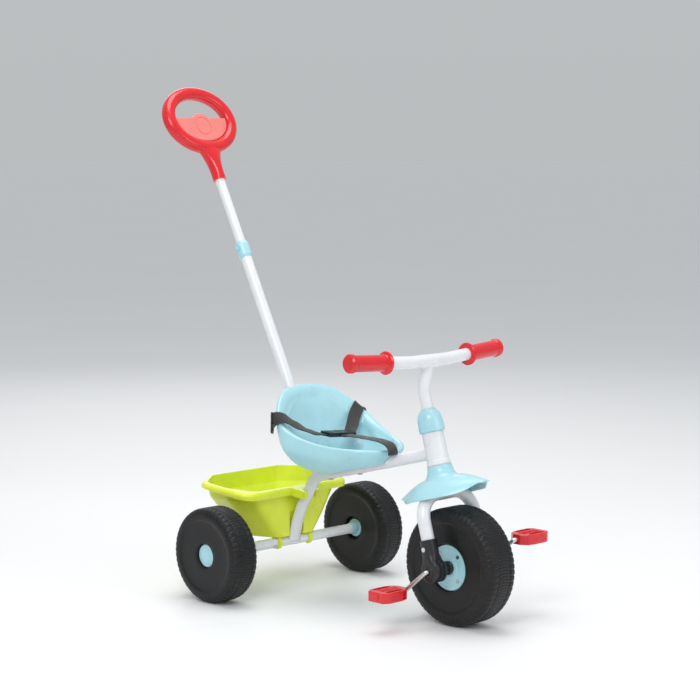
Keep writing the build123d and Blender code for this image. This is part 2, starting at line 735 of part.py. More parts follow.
def bell_solid(inset, top):
    """The bell as a turned solid, narrower by the inset where it forms the hollow."""
    with BuildPart() as bell:
        outline = [(radius - inset, min(height, top)) for radius, height in BELL_LINE]
        turn_profile(steer_profile, [(0, top), *outline, (0, outline[-1][1])], steer_axis)
    return bell.part


with BuildPart() as mudguard:
    add(brim_solid(0))
    add(bell_solid(0, BELL_TOP))
    fillet(mudguard.edges(Select.NEW), BELL_BLEND)
    add(brim_solid(GUARD_WALL), mode=Mode.SUBTRACT)
    add(bell_solid(GUARD_WALL, BELL_TOP - 4), mode=Mode.SUBTRACT)
    cylinder_cut(on_steer(0, 0, BELL_TOP), steer_up, STEM_R, 2 * GUARD_WALL)
save(mudguard.part, "mudguard")

# ---------------------------------------------------------------------------
# Push pole: lower tube, lock collar with its button, sliding upper tube and loop handle
# ---------------------------------------------------------------------------
POLE_LOWER_FOOT = 13.0
POLE_LOWER_TOP = 484.0
POLE_UPPER_R = 9.5
POLE_UPPER_FOOT = 332.0
HANDLE_FOOT = 630.0
COLLAR_LOW = 460.0
COLLAR_HIGH = 493.0
COLLAR_R = 13.6
BUTTON_UP = 481.0
BUTTON_R = 5.5
BUTTON_PROUD = 1.4
BUTTON_FLOOR = POLE_LOWER_R + 0.6

with BuildPart() as pole_lower:
    with BuildSketch(Plane(origin=on_pole(POLE_LOWER_FOOT), z_dir=pole_up)) as lower_ring:
        Circle(POLE_LOWER_R)
        Circle(POLE_UPPER_R + RUNNING, mode=Mode.SUBTRACT)
    extrude(lower_ring.sketch, amount=POLE_LOWER_TOP - POLE_LOWER_FOOT)
save(pole_lower.part, "pole_lower")

with BuildPart() as pole_upper:
    with BuildSketch(Plane(origin=on_pole(POLE_UPPER_FOOT), z_dir=pole_up)) as upper_ring:
        Circle(POLE_UPPER_R)
        Circle(POLE_UPPER_R - TUBE_WALL, mode=Mode.SUBTRACT)
    extrude(upper_ring.sketch, amount=HANDLE_FOOT + 20 - POLE_UPPER_FOOT)
save(pole_upper.part, "pole_upper")

button_plane = Plane(origin=on_pole(BUTTON_UP), x_dir=pole_fore, z_dir=ACROSS * -1)
with BuildPart() as pole_collar:
    turn_profile(
        pole_profile,
        [
            (POLE_LOWER_R, COLLAR_LOW),
            (COLLAR_R - 1.4, COLLAR_LOW),
            (COLLAR_R, COLLAR_LOW + 4),
            (COLLAR_R, COLLAR_HIGH - 6),
            (COLLAR_R - 1.6, COLLAR_HIGH - 1.5),
            (COLLAR_R - 3, COLLAR_HIGH),
            (POLE_UPPER_R + RUNNING, COLLAR_HIGH),
            (POLE_UPPER_R + RUNNING, POLE_LOWER_TOP),
            (POLE_LOWER_R, POLE_LOWER_TOP),
        ],
        pole_axis,
    )
    with BuildSketch(button_plane) as button_boss:
        Circle(BUTTON_R + 2)
    extrude(button_boss.sketch, amount=COLLAR_R + 0.4)
    cylinder_cut(on_pole(BUTTON_UP - 20), pole_up, POLE_LOWER_R, 23)
    with BuildSketch(Plane(origin=on_pole(POLE_LOWER_TOP), z_dir=pole_up)) as throat:
        Circle(POLE_UPPER_R + RUNNING)
    extrude(throat.sketch, amount=POLE_LOWER_R, mode=Mode.SUBTRACT)
    with BuildSketch(button_plane.offset(BUTTON_FLOOR)) as button_pocket:
        Circle(BUTTON_R + GAP)
    extrude(button_pocket.sketch, amount=COLLAR_R, mode=Mode.SUBTRACT)
save(pole_collar.part, "pole_collar")

with BuildPart() as lock_button:
    with BuildSketch(button_plane.offset(BUTTON_FLOOR + BUTTON_PROUD + 0.2)) as button_face:
        Circle(BUTTON_R)
    extrude(button_face.sketch, amount=COLLAR_R + 1.2 - BUTTON_FLOOR - BUTTON_PROUD - 0.2)
    fillet(lock_button.edges().sort_by(Axis.Y)[0], 0.6)
save(lock_button.part, "lock_button")

LOOP_HALF_WIDE = 90.0
LOOP_HALF_LONG = 73.0
LOOP_BAR = 25.5
LOOP_MIDDLE = 762.0
WEB_HALF_THICK = 6.0
WEB_CREST = 4.0  # the web's top edge, above the loop's middle line

loop_plane = Plane(origin=on_pole(LOOP_MIDDLE), x_dir=ACROSS, z_dir=pole_fore)
with BuildPart() as push_handle:
    with BuildSketch(loop_plane) as loop:
        Ellipse(LOOP_HALF_WIDE, LOOP_HALF_LONG)
        Ellipse(LOOP_HALF_WIDE - LOOP_BAR, LOOP_HALF_LONG - LOOP_BAR, mode=Mode.SUBTRACT)
    extrude(loop.sketch, amount=LOOP_BAR / 2, both=True)
    fillet(push_handle.edges(), LOOP_BAR / 2 - 1.5)
    neck_top = LOOP_MIDDLE - LOOP_HALF_LONG + 14
    with BuildSketch(Plane(origin=on_pole(HANDLE_FOOT), z_dir=pole_up)) as neck_low:
        Circle(13.2)
    with BuildSketch(Plane(origin=on_pole(HANDLE_FOOT + 34), z_dir=pole_up)) as neck_mid:
        Circle(14.2)
    with BuildSketch(Plane(origin=on_pole(neck_top), x_dir=ACROSS, z_dir=pole_up)) as neck_high:
        Ellipse(34, LOOP_BAR / 2 - 1)
    loft([neck_low.sketch, neck_mid.sketch, neck_high.sketch])
    with BuildSketch(Plane(origin=on_pole(HANDLE_FOOT), z_dir=pole_up)) as neck_bore:
        Circle(POLE_UPPER_R)
    extrude(neck_bore.sketch, amount=20, mode=Mode.SUBTRACT)
save(push_handle.part, "push_handle")

with BuildPart() as handle_web:
    with BuildSketch(loop_plane) as web:
        Ellipse(LOOP_HALF_WIDE - LOOP_BAR, LOOP_HALF_LONG - LOOP_BAR)
        with Locations((0, WEB_CREST + LOOP_HALF_LONG)):
            Rectangle(2 * LOOP_HALF_WIDE, 2 * LOOP_HALF_LONG, mode=Mode.SUBTRACT)
        with Locations((0, -14)):
            Circle(28)
    extrude(web.sketch, amount=WEB_HALF_THICK, both=True)
    crest = WEB_CREST - 2
    fillet(handle_web.edges().filter_by(lambda e: loop_plane.to_local_coords(e.center()).Y > crest), 2)
    for face_step in (1, -1):
        with BuildSketch(loop_plane.offset(face_step * WEB_HALF_THICK)) as ring:
            with Locations((0, -14)):
                Circle(20)
                Circle(17.5, mode=Mode.SUBTRACT)
        extrude(ring.sketch, amount=-face_step * 0.8, mode=Mode.SUBTRACT)
save(handle_web.part, "handle_web")

# ---------------------------------------------------------------------------
# Seat: a double-walled bucket with a rolled rim and a pommel, open underneath
# ---------------------------------------------------------------------------
SEAT_WALL = 3.0
SEAT_REACH = 400.0


def teardrop(height, rear, widest, front, half):
    """A seat outline at one height: round behind, tapering to a blunt nose. Distances are ahead."""
    with BuildSketch(Plane.XY.offset(height)) as outline:
        with BuildLine() as edge:
            EllipticalCenterArc((REAR_AXLE_X + widest, 0), widest - rear, half, 90, arc_size=90)
            Bezier(
                (REAR_AXLE_X + front, 0),
                (REAR_AXLE_X + front, 0.62 * half),
                (REAR_AXLE_X + widest + 0.12 * (front - widest), half),
                (REAR_AXLE_X + widest, half),
            )
            mirror(edge.line, about=Plane.XZ)
        make_face()
    return outline.sketch


# Each level: height, then the rear, widest place and nose ahead of the axle, and the half width.
SEAT_SKIN = [
    (234, 104, 135, 204, 38),
    (248, 85, 120, 234, 62),
    (267, 72, 115, 259, 97),
    (282, 65, 110, 274, 110),
    (302, 53, 106, 286, 118),
    (332, 43, 101, 294, 120),
    (353, 38, 98, 297, 119),
    (372, 31, 95, 299, 113),
    (388, 25, 92, 301, 102),
    (404, 18, 88, 303, 78),
]
SEAT_BUCKET = [
    (258, 122, 150, 200, 42),
    (268, 104, 135, 226, 62),
    (286, 86, 122, 250, 82),
    (306, 74, 114, 266, 95),
    (336, 62, 108, 274, 99),
    (358, 55, 104, 278, 98),
    (380, 47, 100, 282, 88),
    (408, 36, 94, 286, 58),
]
RIM_LINE = [
    (-30, 402),
    (10, 401.5),
    (27, 400),
    (51, 386),
    (66, 369),
    (98, 337),
    (150, 314.5),
    (200, 305),
    (245, 301),
    (300, 295),
]
RIM_ROUND = 4.5
SEAT_SCREW_HEAD = 2.4
SEAT_BELLY = 3.0  # how far the underside hangs below the backbone's middle line
POMMEL_LINE = [(148, 258), (172, 271), (205, 289), (236, 300), (254, 302), (266, 297)]
POMMEL_HALF = 20.0
POMMEL_FOOT = 254.0
UNDER_SLOT = (96.0, 52.0)  # the opening underneath: length and width


def above_rim(drop):
    """Everything above the seat's rim line, lowered by a drop, as a solid to cut with."""
    with BuildPart() as space:
        with BuildSketch(Plane.XZ):
            with BuildLine() as edge:
                Spline([(REAR_AXLE_X + x, z - drop) for x, z in RIM_LINE])
                Line(edge.line @ 1, (REAR_AXLE_X + SEAT_REACH, RIM_LINE[-1][1] - drop))
                Line(edge.line @ 1, (REAR_AXLE_X + SEAT_REACH, SEAT_REACH * 1.2))
                Line(edge.line @ 1, (REAR_AXLE_X - SEAT_REACH, SEAT_REACH * 1.2))
                Line(edge.line @ 1, (REAR_AXLE_X - SEAT_REACH, RIM_LINE[0][1] - drop))
                Line(edge.line @ 1, edge.line @ 0)
            make_face()
        extrude(amount=SEAT_REACH, both=True)
    return space.part


def shrunk(levels, wall, lift):
    """The same outlines moved inwards by a wall and up by a lift."""
    outlines = []
    for height, rear, widest, front, half in levels:
        outlines.append(teardrop(height + lift, rear + wall, widest, front - wall, half - wall))
    return outlines


def seat_void():
    """The space between the seat's two walls."""
    with BuildPart() as void:
        loft(shrunk(SEAT_SKIN, SEAT_WALL, SEAT_WALL))
        loft(shrunk(SEAT_BUCKET, -SEAT_WALL, -SEAT_WALL), mode=Mode.SUBTRACT)
        add(above_rim(2 * SEAT_WALL), mode=Mode.SUBTRACT)
    return void.part


with BuildPart() as seat_shell:
    loft(shrunk(SEAT_SKIN, 0, 0))
    loft(shrunk(SEAT_BUCKET, 0, 0), mode=Mode.SUBTRACT)
    add(above_rim(0), mode=Mode.SUBTRACT)
    rim_edges = []
    for face in seat_shell.faces().filter_by(GeomType.EXTRUSION):
        rim_edges += [edge for edge in face.edges() if edge.bounding_box().size.Y > 1]
    fillet(rim_edges, RIM_ROUND)
    with BuildSketch(Plane.XZ) as pommel:
        with BuildLine() as crest:
            Spline([(REAR_AXLE_X + x, z) for x, z in POMMEL_LINE])
            Line(crest.line @ 1, (REAR_AXLE_X + POMMEL_LINE[-1][0], POMMEL_FOOT + 12))
            Line(crest.line @ 1, (REAR_AXLE_X + POMMEL_LINE[0][0], POMMEL_FOOT))
            Line(crest.line @ 1, crest.line @ 0)
        make_face()
    extrude(pommel.sketch, amount=POMMEL_HALF, both=True)
    belly_level = BACKBONE_FRONT - BACKBONE_UP * SEAT_BELLY
    with BuildSketch(Plane(origin=belly_level, x_dir=ACROSS, z_dir=BACKBONE_UP * -1)) as belly:
        Rectangle(SEAT_REACH, 2 * SEAT_REACH)
    extrude(belly.sketch, amount=SEAT_REACH, mode=Mode.SUBTRACT)
    add(seat_void(), mode=Mode.SUBTRACT)
    cylinder_cut(BACKBONE_FRONT, BACKBONE_DIR, BACKBONE_R, (BACKBONE_FRONT - BACKBONE_KNEE).length)
    with BuildSketch(Plane.XY) as slot:
        with Locations((REAR_AXLE_X + 158, 0)):
            RectangleRounded(*UNDER_SLOT, 10)
    extrude(slot.sketch, amount=SEAT_SKIN[0][0] + 2 * SEAT_WALL, mode=Mode.SUBTRACT)
    for foot in SEAT_SCREWS:
        cylinder_cut(foot, BACKBONE_UP, SCREW_R, BACKBONE_R + 12)
    cylinder_cut(POLE_FOOT, pole_up, SOCKET_R + GAP, SOCKET_TOP + GAP)
    cylinder_cut(on_pole(SOCKET_TOP), pole_up, POLE_LOWER_R + GAP, 2 * SOCKET_TOP)
save(seat_shell.part, "seat_shell")

with BuildPart() as seat_screws:
    for foot in SEAT_SCREWS:
        with BuildSketch(Plane(origin=foot - BACKBONE_UP * BACKBONE_R, z_dir=BACKBONE_UP)) as shank:
            Circle(SCREW_R)
        extrude(shank.sketch, amount=2 * BACKBONE_R + 9)
        head_level = foot - BACKBONE_UP * (BACKBONE_R + SEAT_SCREW_HEAD)
        with BuildSketch(Plane(origin=head_level, z_dir=BACKBONE_UP)) as head:
            Circle(2 * SCREW_R)
        extrude(head.sketch, amount=SEAT_SCREW_HEAD)
save(seat_screws.part, "seat_screws")

# ---------------------------------------------------------------------------
# Tipping basket: a tapered tub with a rolled lip, hung on the axle tube by two clips
# ---------------------------------------------------------------------------
TUB_WALL = 2.5
TUB_FLOOR = 102.0
LIP_SLOPE = 5.2  # degrees that the lip rises towards the back
LIP_SHIFT = 60.0  # the lip plane's origin lies this far behind the axle
LIP_TURN = 8.0  # radius of the rolled edge
SKIRT_FRONT = ahead(24, 184)
SKIRT_SLOPE = 7.4
SKIRT_DEEP = 20.0
CLIP_ACROSS = 40.0
CLIP_WIDE = 9.0
CLIP_R = AXLE_TUBE_R + 0.3
CLIP_THICK = 3.0
EAR_INNER = 12.2
EAR_OUTER = 22.0
EAR_TIP = 59.0
EAR_ROOT = 14.0
EAR_DEEP = 15.0
EAR_WALL = 2.0
EAR_ROUND = 8.0
NOTCH_REACH = 80.0
CHANNEL_HALF = 18.5

lip_plane = Plane(
    origin=ahead(-LIP_SHIFT, 205.2),
    x_dir=(cos(radians(LIP_SLOPE)), 0, -sin(radians(LIP_SLOPE))),
    z_dir=(sin(radians(LIP_SLOPE)), 0, cos(radians(LIP_SLOPE))),
)


def rounded_outline(plane, corners, radius, inset):
    """A symmetric outline from its left-hand corners, front to back, rounded and moved inwards."""
    with BuildSketch(plane) as outline:
        with BuildLine():
            Polyline(*corners, *[(x, -y) for x, y in reversed(corners)], close=True)
        make_face()
        fillet(outline.vertices(), radius)
        if inset:
            offset(amount=-inset, mode=Mode.REPLACE)
    return outline.sketch


# Each level: height above the floor, corner radius, then the left-hand corners ahead of the axle.
TUB_LEVELS = [
    (0.0, 18, [(14, 47), (-35, 70), (-84, 68), (-105, 40)]),
    (38.0, 21, [(14, 76), (-37, 98), (-90, 97), (-119, 60)]),
    (76.0, 24, [(14, 98), (-39, 129), (-96, 129), (-132, 82)]),
    (122.0, 30, [(14, 122), (-38, 142), (-98, 144), (-137, 92)]),
]
LIP_CORNERS = [(26, 138), (-101, 153), (-143, 73)]
LIP_ROUND = 36.0


def tub_solid(inset, lift):
    """The tub's outer form, or its inside where it is inset and lifted off the floor."""
    with BuildPart() as solid:
        levels = []
        for height, radius, corners in TUB_LEVELS:
            places = [(REAR_AXLE_X + x, y) for x, y in corners]
            level = Plane.XY.offset(TUB_FLOOR + height + lift)
            levels.append(rounded_outline(level, places, radius, inset))
        loft(levels, ruled=True)
    return solid.part


def lip_block(inset, drop, edge_round):
    """The lip as a block under its sloping plane, moved inwards and down where it forms the hollow."""
    corners = [(x + LIP_SHIFT, y) for x, y in LIP_CORNERS]
    with BuildPart() as block:
        extrude(rounded_outline(lip_plane.offset(-drop), corners, LIP_ROUND, inset), amount=-SKIRT_DEEP)
        fillet(block.faces().sort_by(Axis((0, 0, 0), lip_plane.z_dir))[-1].edges(), edge_round)
    return block.part


def leg_channel(half, depth):
    """The wedge that the flattened leg fills in the lower front wall, as a solid."""
    with BuildPart() as wedge:
        with BuildSketch(Plane.XZ):
            with BuildLine():
                Polyline(
                    (REAR_AXLE_X + 60, TUB_FLOOR - 20),
                    (REAR_AXLE_X - 5 - depth, TUB_FLOOR - 20),
                    (REAR_AXLE_X - 2 - depth, TUB_FLOOR),
                    (REAR_AXLE_X + 12.5 - depth, LEG_BEND.Z - 2),
                    (REAR_AXLE_X + 60, LEG_BEND.Z + 45),
                    close=True,
                )
            make_face()
        extrude(amount=half, both=True)
    return wedge.part


def lip_solid():
    """A flange round the mouth, rolled down into a skirt that is deepest in front."""
    below = Plane(origin=SKIRT_FRONT, z_dir=(sin(radians(SKIRT_SLOPE)), 0, cos(radians(SKIRT_SLOPE))))
    with BuildPart() as lip:
        add(lip_block(0, 0, LIP_TURN))
        split(bisect_by=below)
        add(lip_block(TUB_WALL, TUB_WALL, LIP_TURN - TUB_WALL), mode=Mode.SUBTRACT)
    return lip.part


channel_space = leg_channel(CHANNEL_HALF, 0)
channel_walls = (leg_channel(CHANNEL_HALF + TUB_WALL, TUB_WALL) - channel_space) & tub_solid(0, 0)

with BuildPart() as basket:
    add(tub_solid(0, 0))
    split(bisect_by=lip_plane, keep=Keep.BOTTOM)
    add(lip_solid())
    add(tub_solid(TUB_WALL, TUB_WALL), mode=Mode.SUBTRACT)
    # The channel that clears the flattened leg.
    add(channel_space, mode=Mode.SUBTRACT)
    add(channel_walls)
    # Two ears that straddle the leg and hold the front edge to it.
    ear_middle = (EAR_TIP + EAR_ROOT) / 2 + LIP_SHIFT
    with BuildSketch(lip_plane) as ears:
        with Locations((ear_middle, 0)):
            RectangleRounded(EAR_TIP - EAR_ROOT, 2 * EAR_OUTER, EAR_ROUND)
    extrude(ears.sketch, amount=-EAR_DEEP)
    with BuildSketch(lip_plane.offset(-TUB_WALL)) as ear_hollow:
        for side in SIDES.values():
            with Locations((ear_middle, side * (EAR_INNER + EAR_OUTER) / 2)):
                Rectangle(EAR_TIP - EAR_ROOT - 2 * EAR_WALL, EAR_OUTER - EAR_INNER - 2 * EAR_WALL)
    extrude(ear_hollow.sketch, amount=-EAR_DEEP, mode=Mode.SUBTRACT)
    along_leg = Plane(origin=LEG_BEND, x_dir=leg_line.cross(ACROSS), z_dir=leg_line * -1)
    with BuildSketch(along_leg) as notch:
        Circle(EAR_INNER)
        with Locations((3 * EAR_INNER / 2, 0)):
            Rectangle(3 * EAR_INNER, 2 * EAR_INNER)
    extrude(notch.sketch, amount=NOTCH_REACH, mode=Mode.SUBTRACT)
    # Clips that snap over the axle tube and turn on it.
    for side in SIDES.values():
        clip_middle = REAR_AXLE + ACROSS * (side * CLIP_ACROSS)
        with BuildSketch(Plane(origin=clip_middle, x_dir=(1, 0, 0), z_dir=(0, -1, 0))) as hook:
            with BuildLine():
                CenterArc((0, 0), CLIP_R + CLIP_THICK / 2, -75, 220)
            trace(line_width=CLIP_THICK)
        extrude(hook.sketch, amount=CLIP_WIDE / 2, both=True)
save(basket.part, "basket")

# ---------------------------------------------------------------------------
# Harness: webbing round the seat, a slider, and a buckle that joins three straps
# ---------------------------------------------------------------------------
WEB_WIDE = 24.0
WEB_THICK = 1.6


def ribbon(stations):
    """Webbing through (centre, run direction, direction of its width) stations, as flat spans."""
    with BuildPart() as webbing:
        sections = []
        for centre, run, wide in stations:
            with BuildSketch(Plane(origin=centre, x_dir=wide, z_dir=run)) as section:
                Rectangle(WEB_WIDE, WEB_THICK)
            sections.append(section.sketch)
        loft(sections, ruled=True)
    return webbing.part


FLAT = Vector(1, 0, -0.05)
RIM_RUN = Vector(0.73, 0, -0.68)  # along the sloping side rim

# Right and left differ because the buckle hangs towards the right.
STRAPS = {
    "waist_strap_right": [
        (ahead(128, 316, -38), (0, -1, 0.05), FLAT),
        (ahead(122, 322, -64), (-0.2, -1, 0.35), (0.9, 0, -0.35)),
        (ahead(106, 337, -90), (-0.3, -1, 0.35), (0.8, 0, -0.6)),
        (ahead(92, 350, -108), (-0.1, -1, 0.1), RIM_RUN),
        (ahead(88, 348, -122), (-0.4, -0.6, -0.5), RIM_RUN),
        (ahead(83, 343, -123), (-0.7, 0.1, -0.7), (0.73, -0.1, -0.68)),
    ],
    "waist_strap_left": [
        (ahead(128, 310, 38), (0, 1, 0), FLAT),
        (ahead(115, 322, 62), (-0.35, 1, 0.4), (0.9, 0.1, -0.35)),
        (ahead(96, 341, 86), (-0.3, 1, 0.3), (0.8, 0, -0.6)),
        (ahead(84, 359, 103), (-0.1, 1, 0.1), RIM_RUN),
        (ahead(80, 357, 119.5), (-0.4, 0.6, -0.5), RIM_RUN),
        (ahead(74, 350, 121.5), (-0.7, -0.1, -0.7), (0.73, 0.1, -0.68)),
    ],
    "crotch_strap": [
        (ahead(146, 312, 6), (1, -0.05, -0.05), ACROSS),
        (ahead(200, 313, -1), (1, -0.08, 0), ACROSS),
        (ahead(256, 313, -7), (1, -0.08, 0), ACROSS),
        (ahead(282, 310, -9), (1, -0.05, -0.5), ACROSS),
        (ahead(292, 300, -10), (0.3, 0, -1), ACROSS),
        (ahead(292, 293, -10), (-0.1, 0, -1), ACROSS),
    ],
}
for strap_name, stations in STRAPS.items():
    save(ribbon(stations), strap_name)

BUCKLE_WIDE = 33.0
BUCKLE_THICK = 9.0
SOCKET_LONG = 38.0
TONGUE_LONG = 32.0

buckle_plane = Plane(origin=ahead(128, 313, 0), x_dir=(0, 1, -0.08), z_dir=(0.05, 0.08, 1))
with BuildPart() as buckle_socket:
    with BuildSketch(buckle_plane.offset(-BUCKLE_THICK / 2)) as body_shape:
        with Locations((SOCKET_LONG / 2, 0)):
            RectangleRounded(SOCKET_LONG, BUCKLE_WIDE, 6)
    extrude(body_shape.sketch, amount=BUCKLE_THICK)
    fillet(buckle_socket.edges().group_by(Axis((0, 0, 0), buckle_plane.z_dir))[-1], 2)
    with BuildSketch(buckle_plane.offset(-BUCKLE_THICK / 2 + 2)) as mouth:
        with Locations((6, 0)):
            Rectangle(14, BUCKLE_WIDE - 8)
    extrude(mouth.sketch, amount=BUCKLE_THICK - 4, mode=Mode.SUBTRACT)
save(buckle_socket.part, "buckle_socket")

with BuildPart() as buckle_tongue:
    with BuildSketch(buckle_plane.offset(-BUCKLE_THICK / 2 + 0.5)) as base_shape:
        with Locations((-TONGUE_LONG / 2 - GAP, 0)):
            RectangleRounded(TONGUE_LONG, BUCKLE_WIDE - 2, 5)
        with Locations((-TONGUE_LONG + 8, 0)):
            Rectangle(4, WEB_WIDE + 1, mode=Mode.SUBTRACT)
    extrude(base_shape.sketch, amount=BUCKLE_THICK - 1)
    with BuildSketch(buckle_plane.offset(-BUCKLE_THICK / 2 + 2.4)) as prong:
        with Locations((4, 0)):
            Rectangle(16, BUCKLE_WIDE - 10)
    extrude(prong.sketch, amount=BUCKLE_THICK - 4.8)
save(buckle_tongue.part, "buckle_tongue")

SLIDER_LONG = 40.0
SLIDER_WIDE = 30.0
slider_plane = Plane(origin=ahead(67, 334, -120), x_dir=RIM_RUN, z_dir=(-0.35, -1, 0))
with BuildPart() as strap_slider:
    with BuildSketch(slider_plane) as frame_shape:
        RectangleRounded(SLIDER_WIDE, SLIDER_LONG, 4)
        with GridLocations(0, 13, 1, 2):
            Rectangle(SLIDER_WIDE - 5, 7, mode=Mode.SUBTRACT)
    extrude(frame_shape.sketch, amount=4)
save(strap_slider.part, "strap_slider")
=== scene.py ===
import json
import math

import bmesh
import bpy
import numpy as np
from mathutils import Matrix, Vector


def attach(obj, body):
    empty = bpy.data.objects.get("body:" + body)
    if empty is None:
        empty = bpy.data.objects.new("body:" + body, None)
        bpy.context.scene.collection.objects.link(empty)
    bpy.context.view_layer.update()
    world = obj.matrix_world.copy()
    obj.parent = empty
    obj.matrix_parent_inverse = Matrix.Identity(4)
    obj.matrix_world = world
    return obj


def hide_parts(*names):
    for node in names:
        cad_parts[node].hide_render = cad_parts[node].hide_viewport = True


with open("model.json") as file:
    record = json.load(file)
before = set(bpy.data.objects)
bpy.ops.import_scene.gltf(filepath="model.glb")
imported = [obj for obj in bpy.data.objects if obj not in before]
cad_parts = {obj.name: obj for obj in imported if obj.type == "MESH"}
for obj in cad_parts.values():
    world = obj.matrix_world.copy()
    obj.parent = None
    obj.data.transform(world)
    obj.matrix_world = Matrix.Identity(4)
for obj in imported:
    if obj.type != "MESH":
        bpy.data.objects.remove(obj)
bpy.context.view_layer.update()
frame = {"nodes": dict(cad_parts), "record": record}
NODES = frame["nodes"]

MM = 0.001
TURN = 2 * math.pi
AXLE_X = -0.121  # the rear axle, in the frame
FORE, LEFT, UP = Vector((1, 0, 0)), Vector((0, 1, 0)), Vector((0, 0, 1))
SIDES = {"left": 1, "right": -1}  # the sign of Y on each side


def ahead(distance, height, left=0.0):
    """A point given in millimetres ahead of the rear axle, above the floor and to the rider's left."""
    return Vector((AXLE_X + distance * MM, left * MM, height * MM))


# ---------------------------------------------------------------------------
# Materials. Object coordinates are the frame's metres, so every grain has its real size.
# ---------------------------------------------------------------------------
COLOUR_A, COLOUR_B, COLOUR_OUT = 6, 7, 2  # the Mix node's sockets for colours
EDGE_COSINES = (0.75, 0.995)  # between the rounded and the true normal: on an edge, on a face


class Finish:
    """A Principled material and short helpers for its nodes. Lengths are in metres."""

    def __init__(self, name, **sockets):
        self.material = bpy.data.materials.new(name)
        self.material.use_nodes = True
        self.tree = self.material.node_tree
        self.surface = self.tree.nodes["Principled BSDF"]
        self.place = self.node("ShaderNodeTexCoord").outputs["Object"]
        for socket, value in sockets.items():
            self.surface.inputs[socket.replace("_", " ")].default_value = value

    def node(self, kind, **settings):
        made = self.tree.nodes.new(kind)
        for key, value in settings.items():
            setattr(made, key, value)
        return made

    def feed(self, socket, value):
        """Link a socket to another one, or set it to a number or a colour."""
        if isinstance(value, bpy.types.NodeSocket):
            self.tree.links.new(value, socket)
        else:
            socket.default_value = value

    def noise(self, size, detail=3.0, roughness=0.5, stretch=None, shift=0.0):
        """Noise whose features are about this size; stretch scales the place first, shift moves it."""
        place = self.place
        if stretch or shift:
            mapping = self.node("ShaderNodeMapping")
            self.feed(mapping.inputs["Vector"], place)
            mapping.inputs["Scale"].default_value = stretch or (1, 1, 1)
            mapping.inputs["Location"].default_value = (shift, shift, shift)
            place = mapping.outputs["Vector"]
        made = self.node("ShaderNodeTexNoise")
        self.feed(made.inputs["Vector"], place)
        made.inputs["Scale"].default_value = 1.0 / size
        made.inputs["Detail"].default_value = detail
        made.inputs["Roughness"].default_value = roughness
        return made.outputs["Fac"]

    def cells(self, size):
        """Soft cells about this size, like the skin of leather."""
        made = self.node("ShaderNodeTexVoronoi", feature="SMOOTH_F1")
        self.feed(made.inputs["Vector"], self.place)
        made.inputs["Scale"].default_value = 1.0 / size
        return made.outputs["Distance"]

    def span(self, value, low, high, to_low=0.0, to_high=1.0):
        """A value's span from low to high, stretched to the new limits and held inside them."""
        made = self.node("ShaderNodeMapRange", clamp=True)
        self.feed(made.inputs["Value"], value)
        limits = {"From Min": low, "From Max": high, "To Min": to_low, "To Max": to_high}
        for socket, number in limits.items():
            made.inputs[socket].default_value = number
        return made.outputs["Result"]

    def math(self, operation, a, b=0.0):
        made = self.node("ShaderNodeMath", operation=operation)
        self.feed(made.inputs[0], a)
        self.feed(made.inputs[1], b)
        return made.outputs[0]

    def mix(self, factor, a, b):
        """Two colours mixed."""
        made = self.node("ShaderNodeMix", data_type="RGBA")
        self.feed(made.inputs["Factor"], factor)
        self.feed(made.inputs[COLOUR_A], a)
        self.feed(made.inputs[COLOUR_B], b)
        return made.outputs[COLOUR_OUT]

    def edge(self, radius):
        """1 along the piece's edges and 0 on its faces."""
        soft = self.node("ShaderNodeBevel", samples=4)
        soft.inputs["Radius"].default_value = radius
        true = self.node("ShaderNodeNewGeometry").outputs["Normal"]
        dot = self.node("ShaderNodeVectorMath", operation="DOT_PRODUCT")
        self.feed(dot.inputs[0], soft.outputs["Normal"])
        self.feed(dot.inputs[1], true)
        return self.span(dot.outputs["Value"], *EDGE_COSINES, 1.0, 0.0)

    def bump(self, height, depth, strength=1.0, under=None):
        """A bumped normal, on top of another one if it is given."""
        made = self.node("ShaderNodeBump")
        self.feed(made.inputs["Height"], height)
        made.inputs["Distance"].default_value = depth
        made.inputs["Strength"].default_value = strength
        if under is not None:
            self.feed(made.inputs["Normal"], under)
        return made.outputs["Normal"]

    def paint(self, socket, value):
        self.feed(self.surface.inputs[socket], value)


def shade(colour, factor):
    """A colour made lighter or darker."""
    return tuple(min(1.0, c * factor) for c in colour[:3]) + (1.0,)


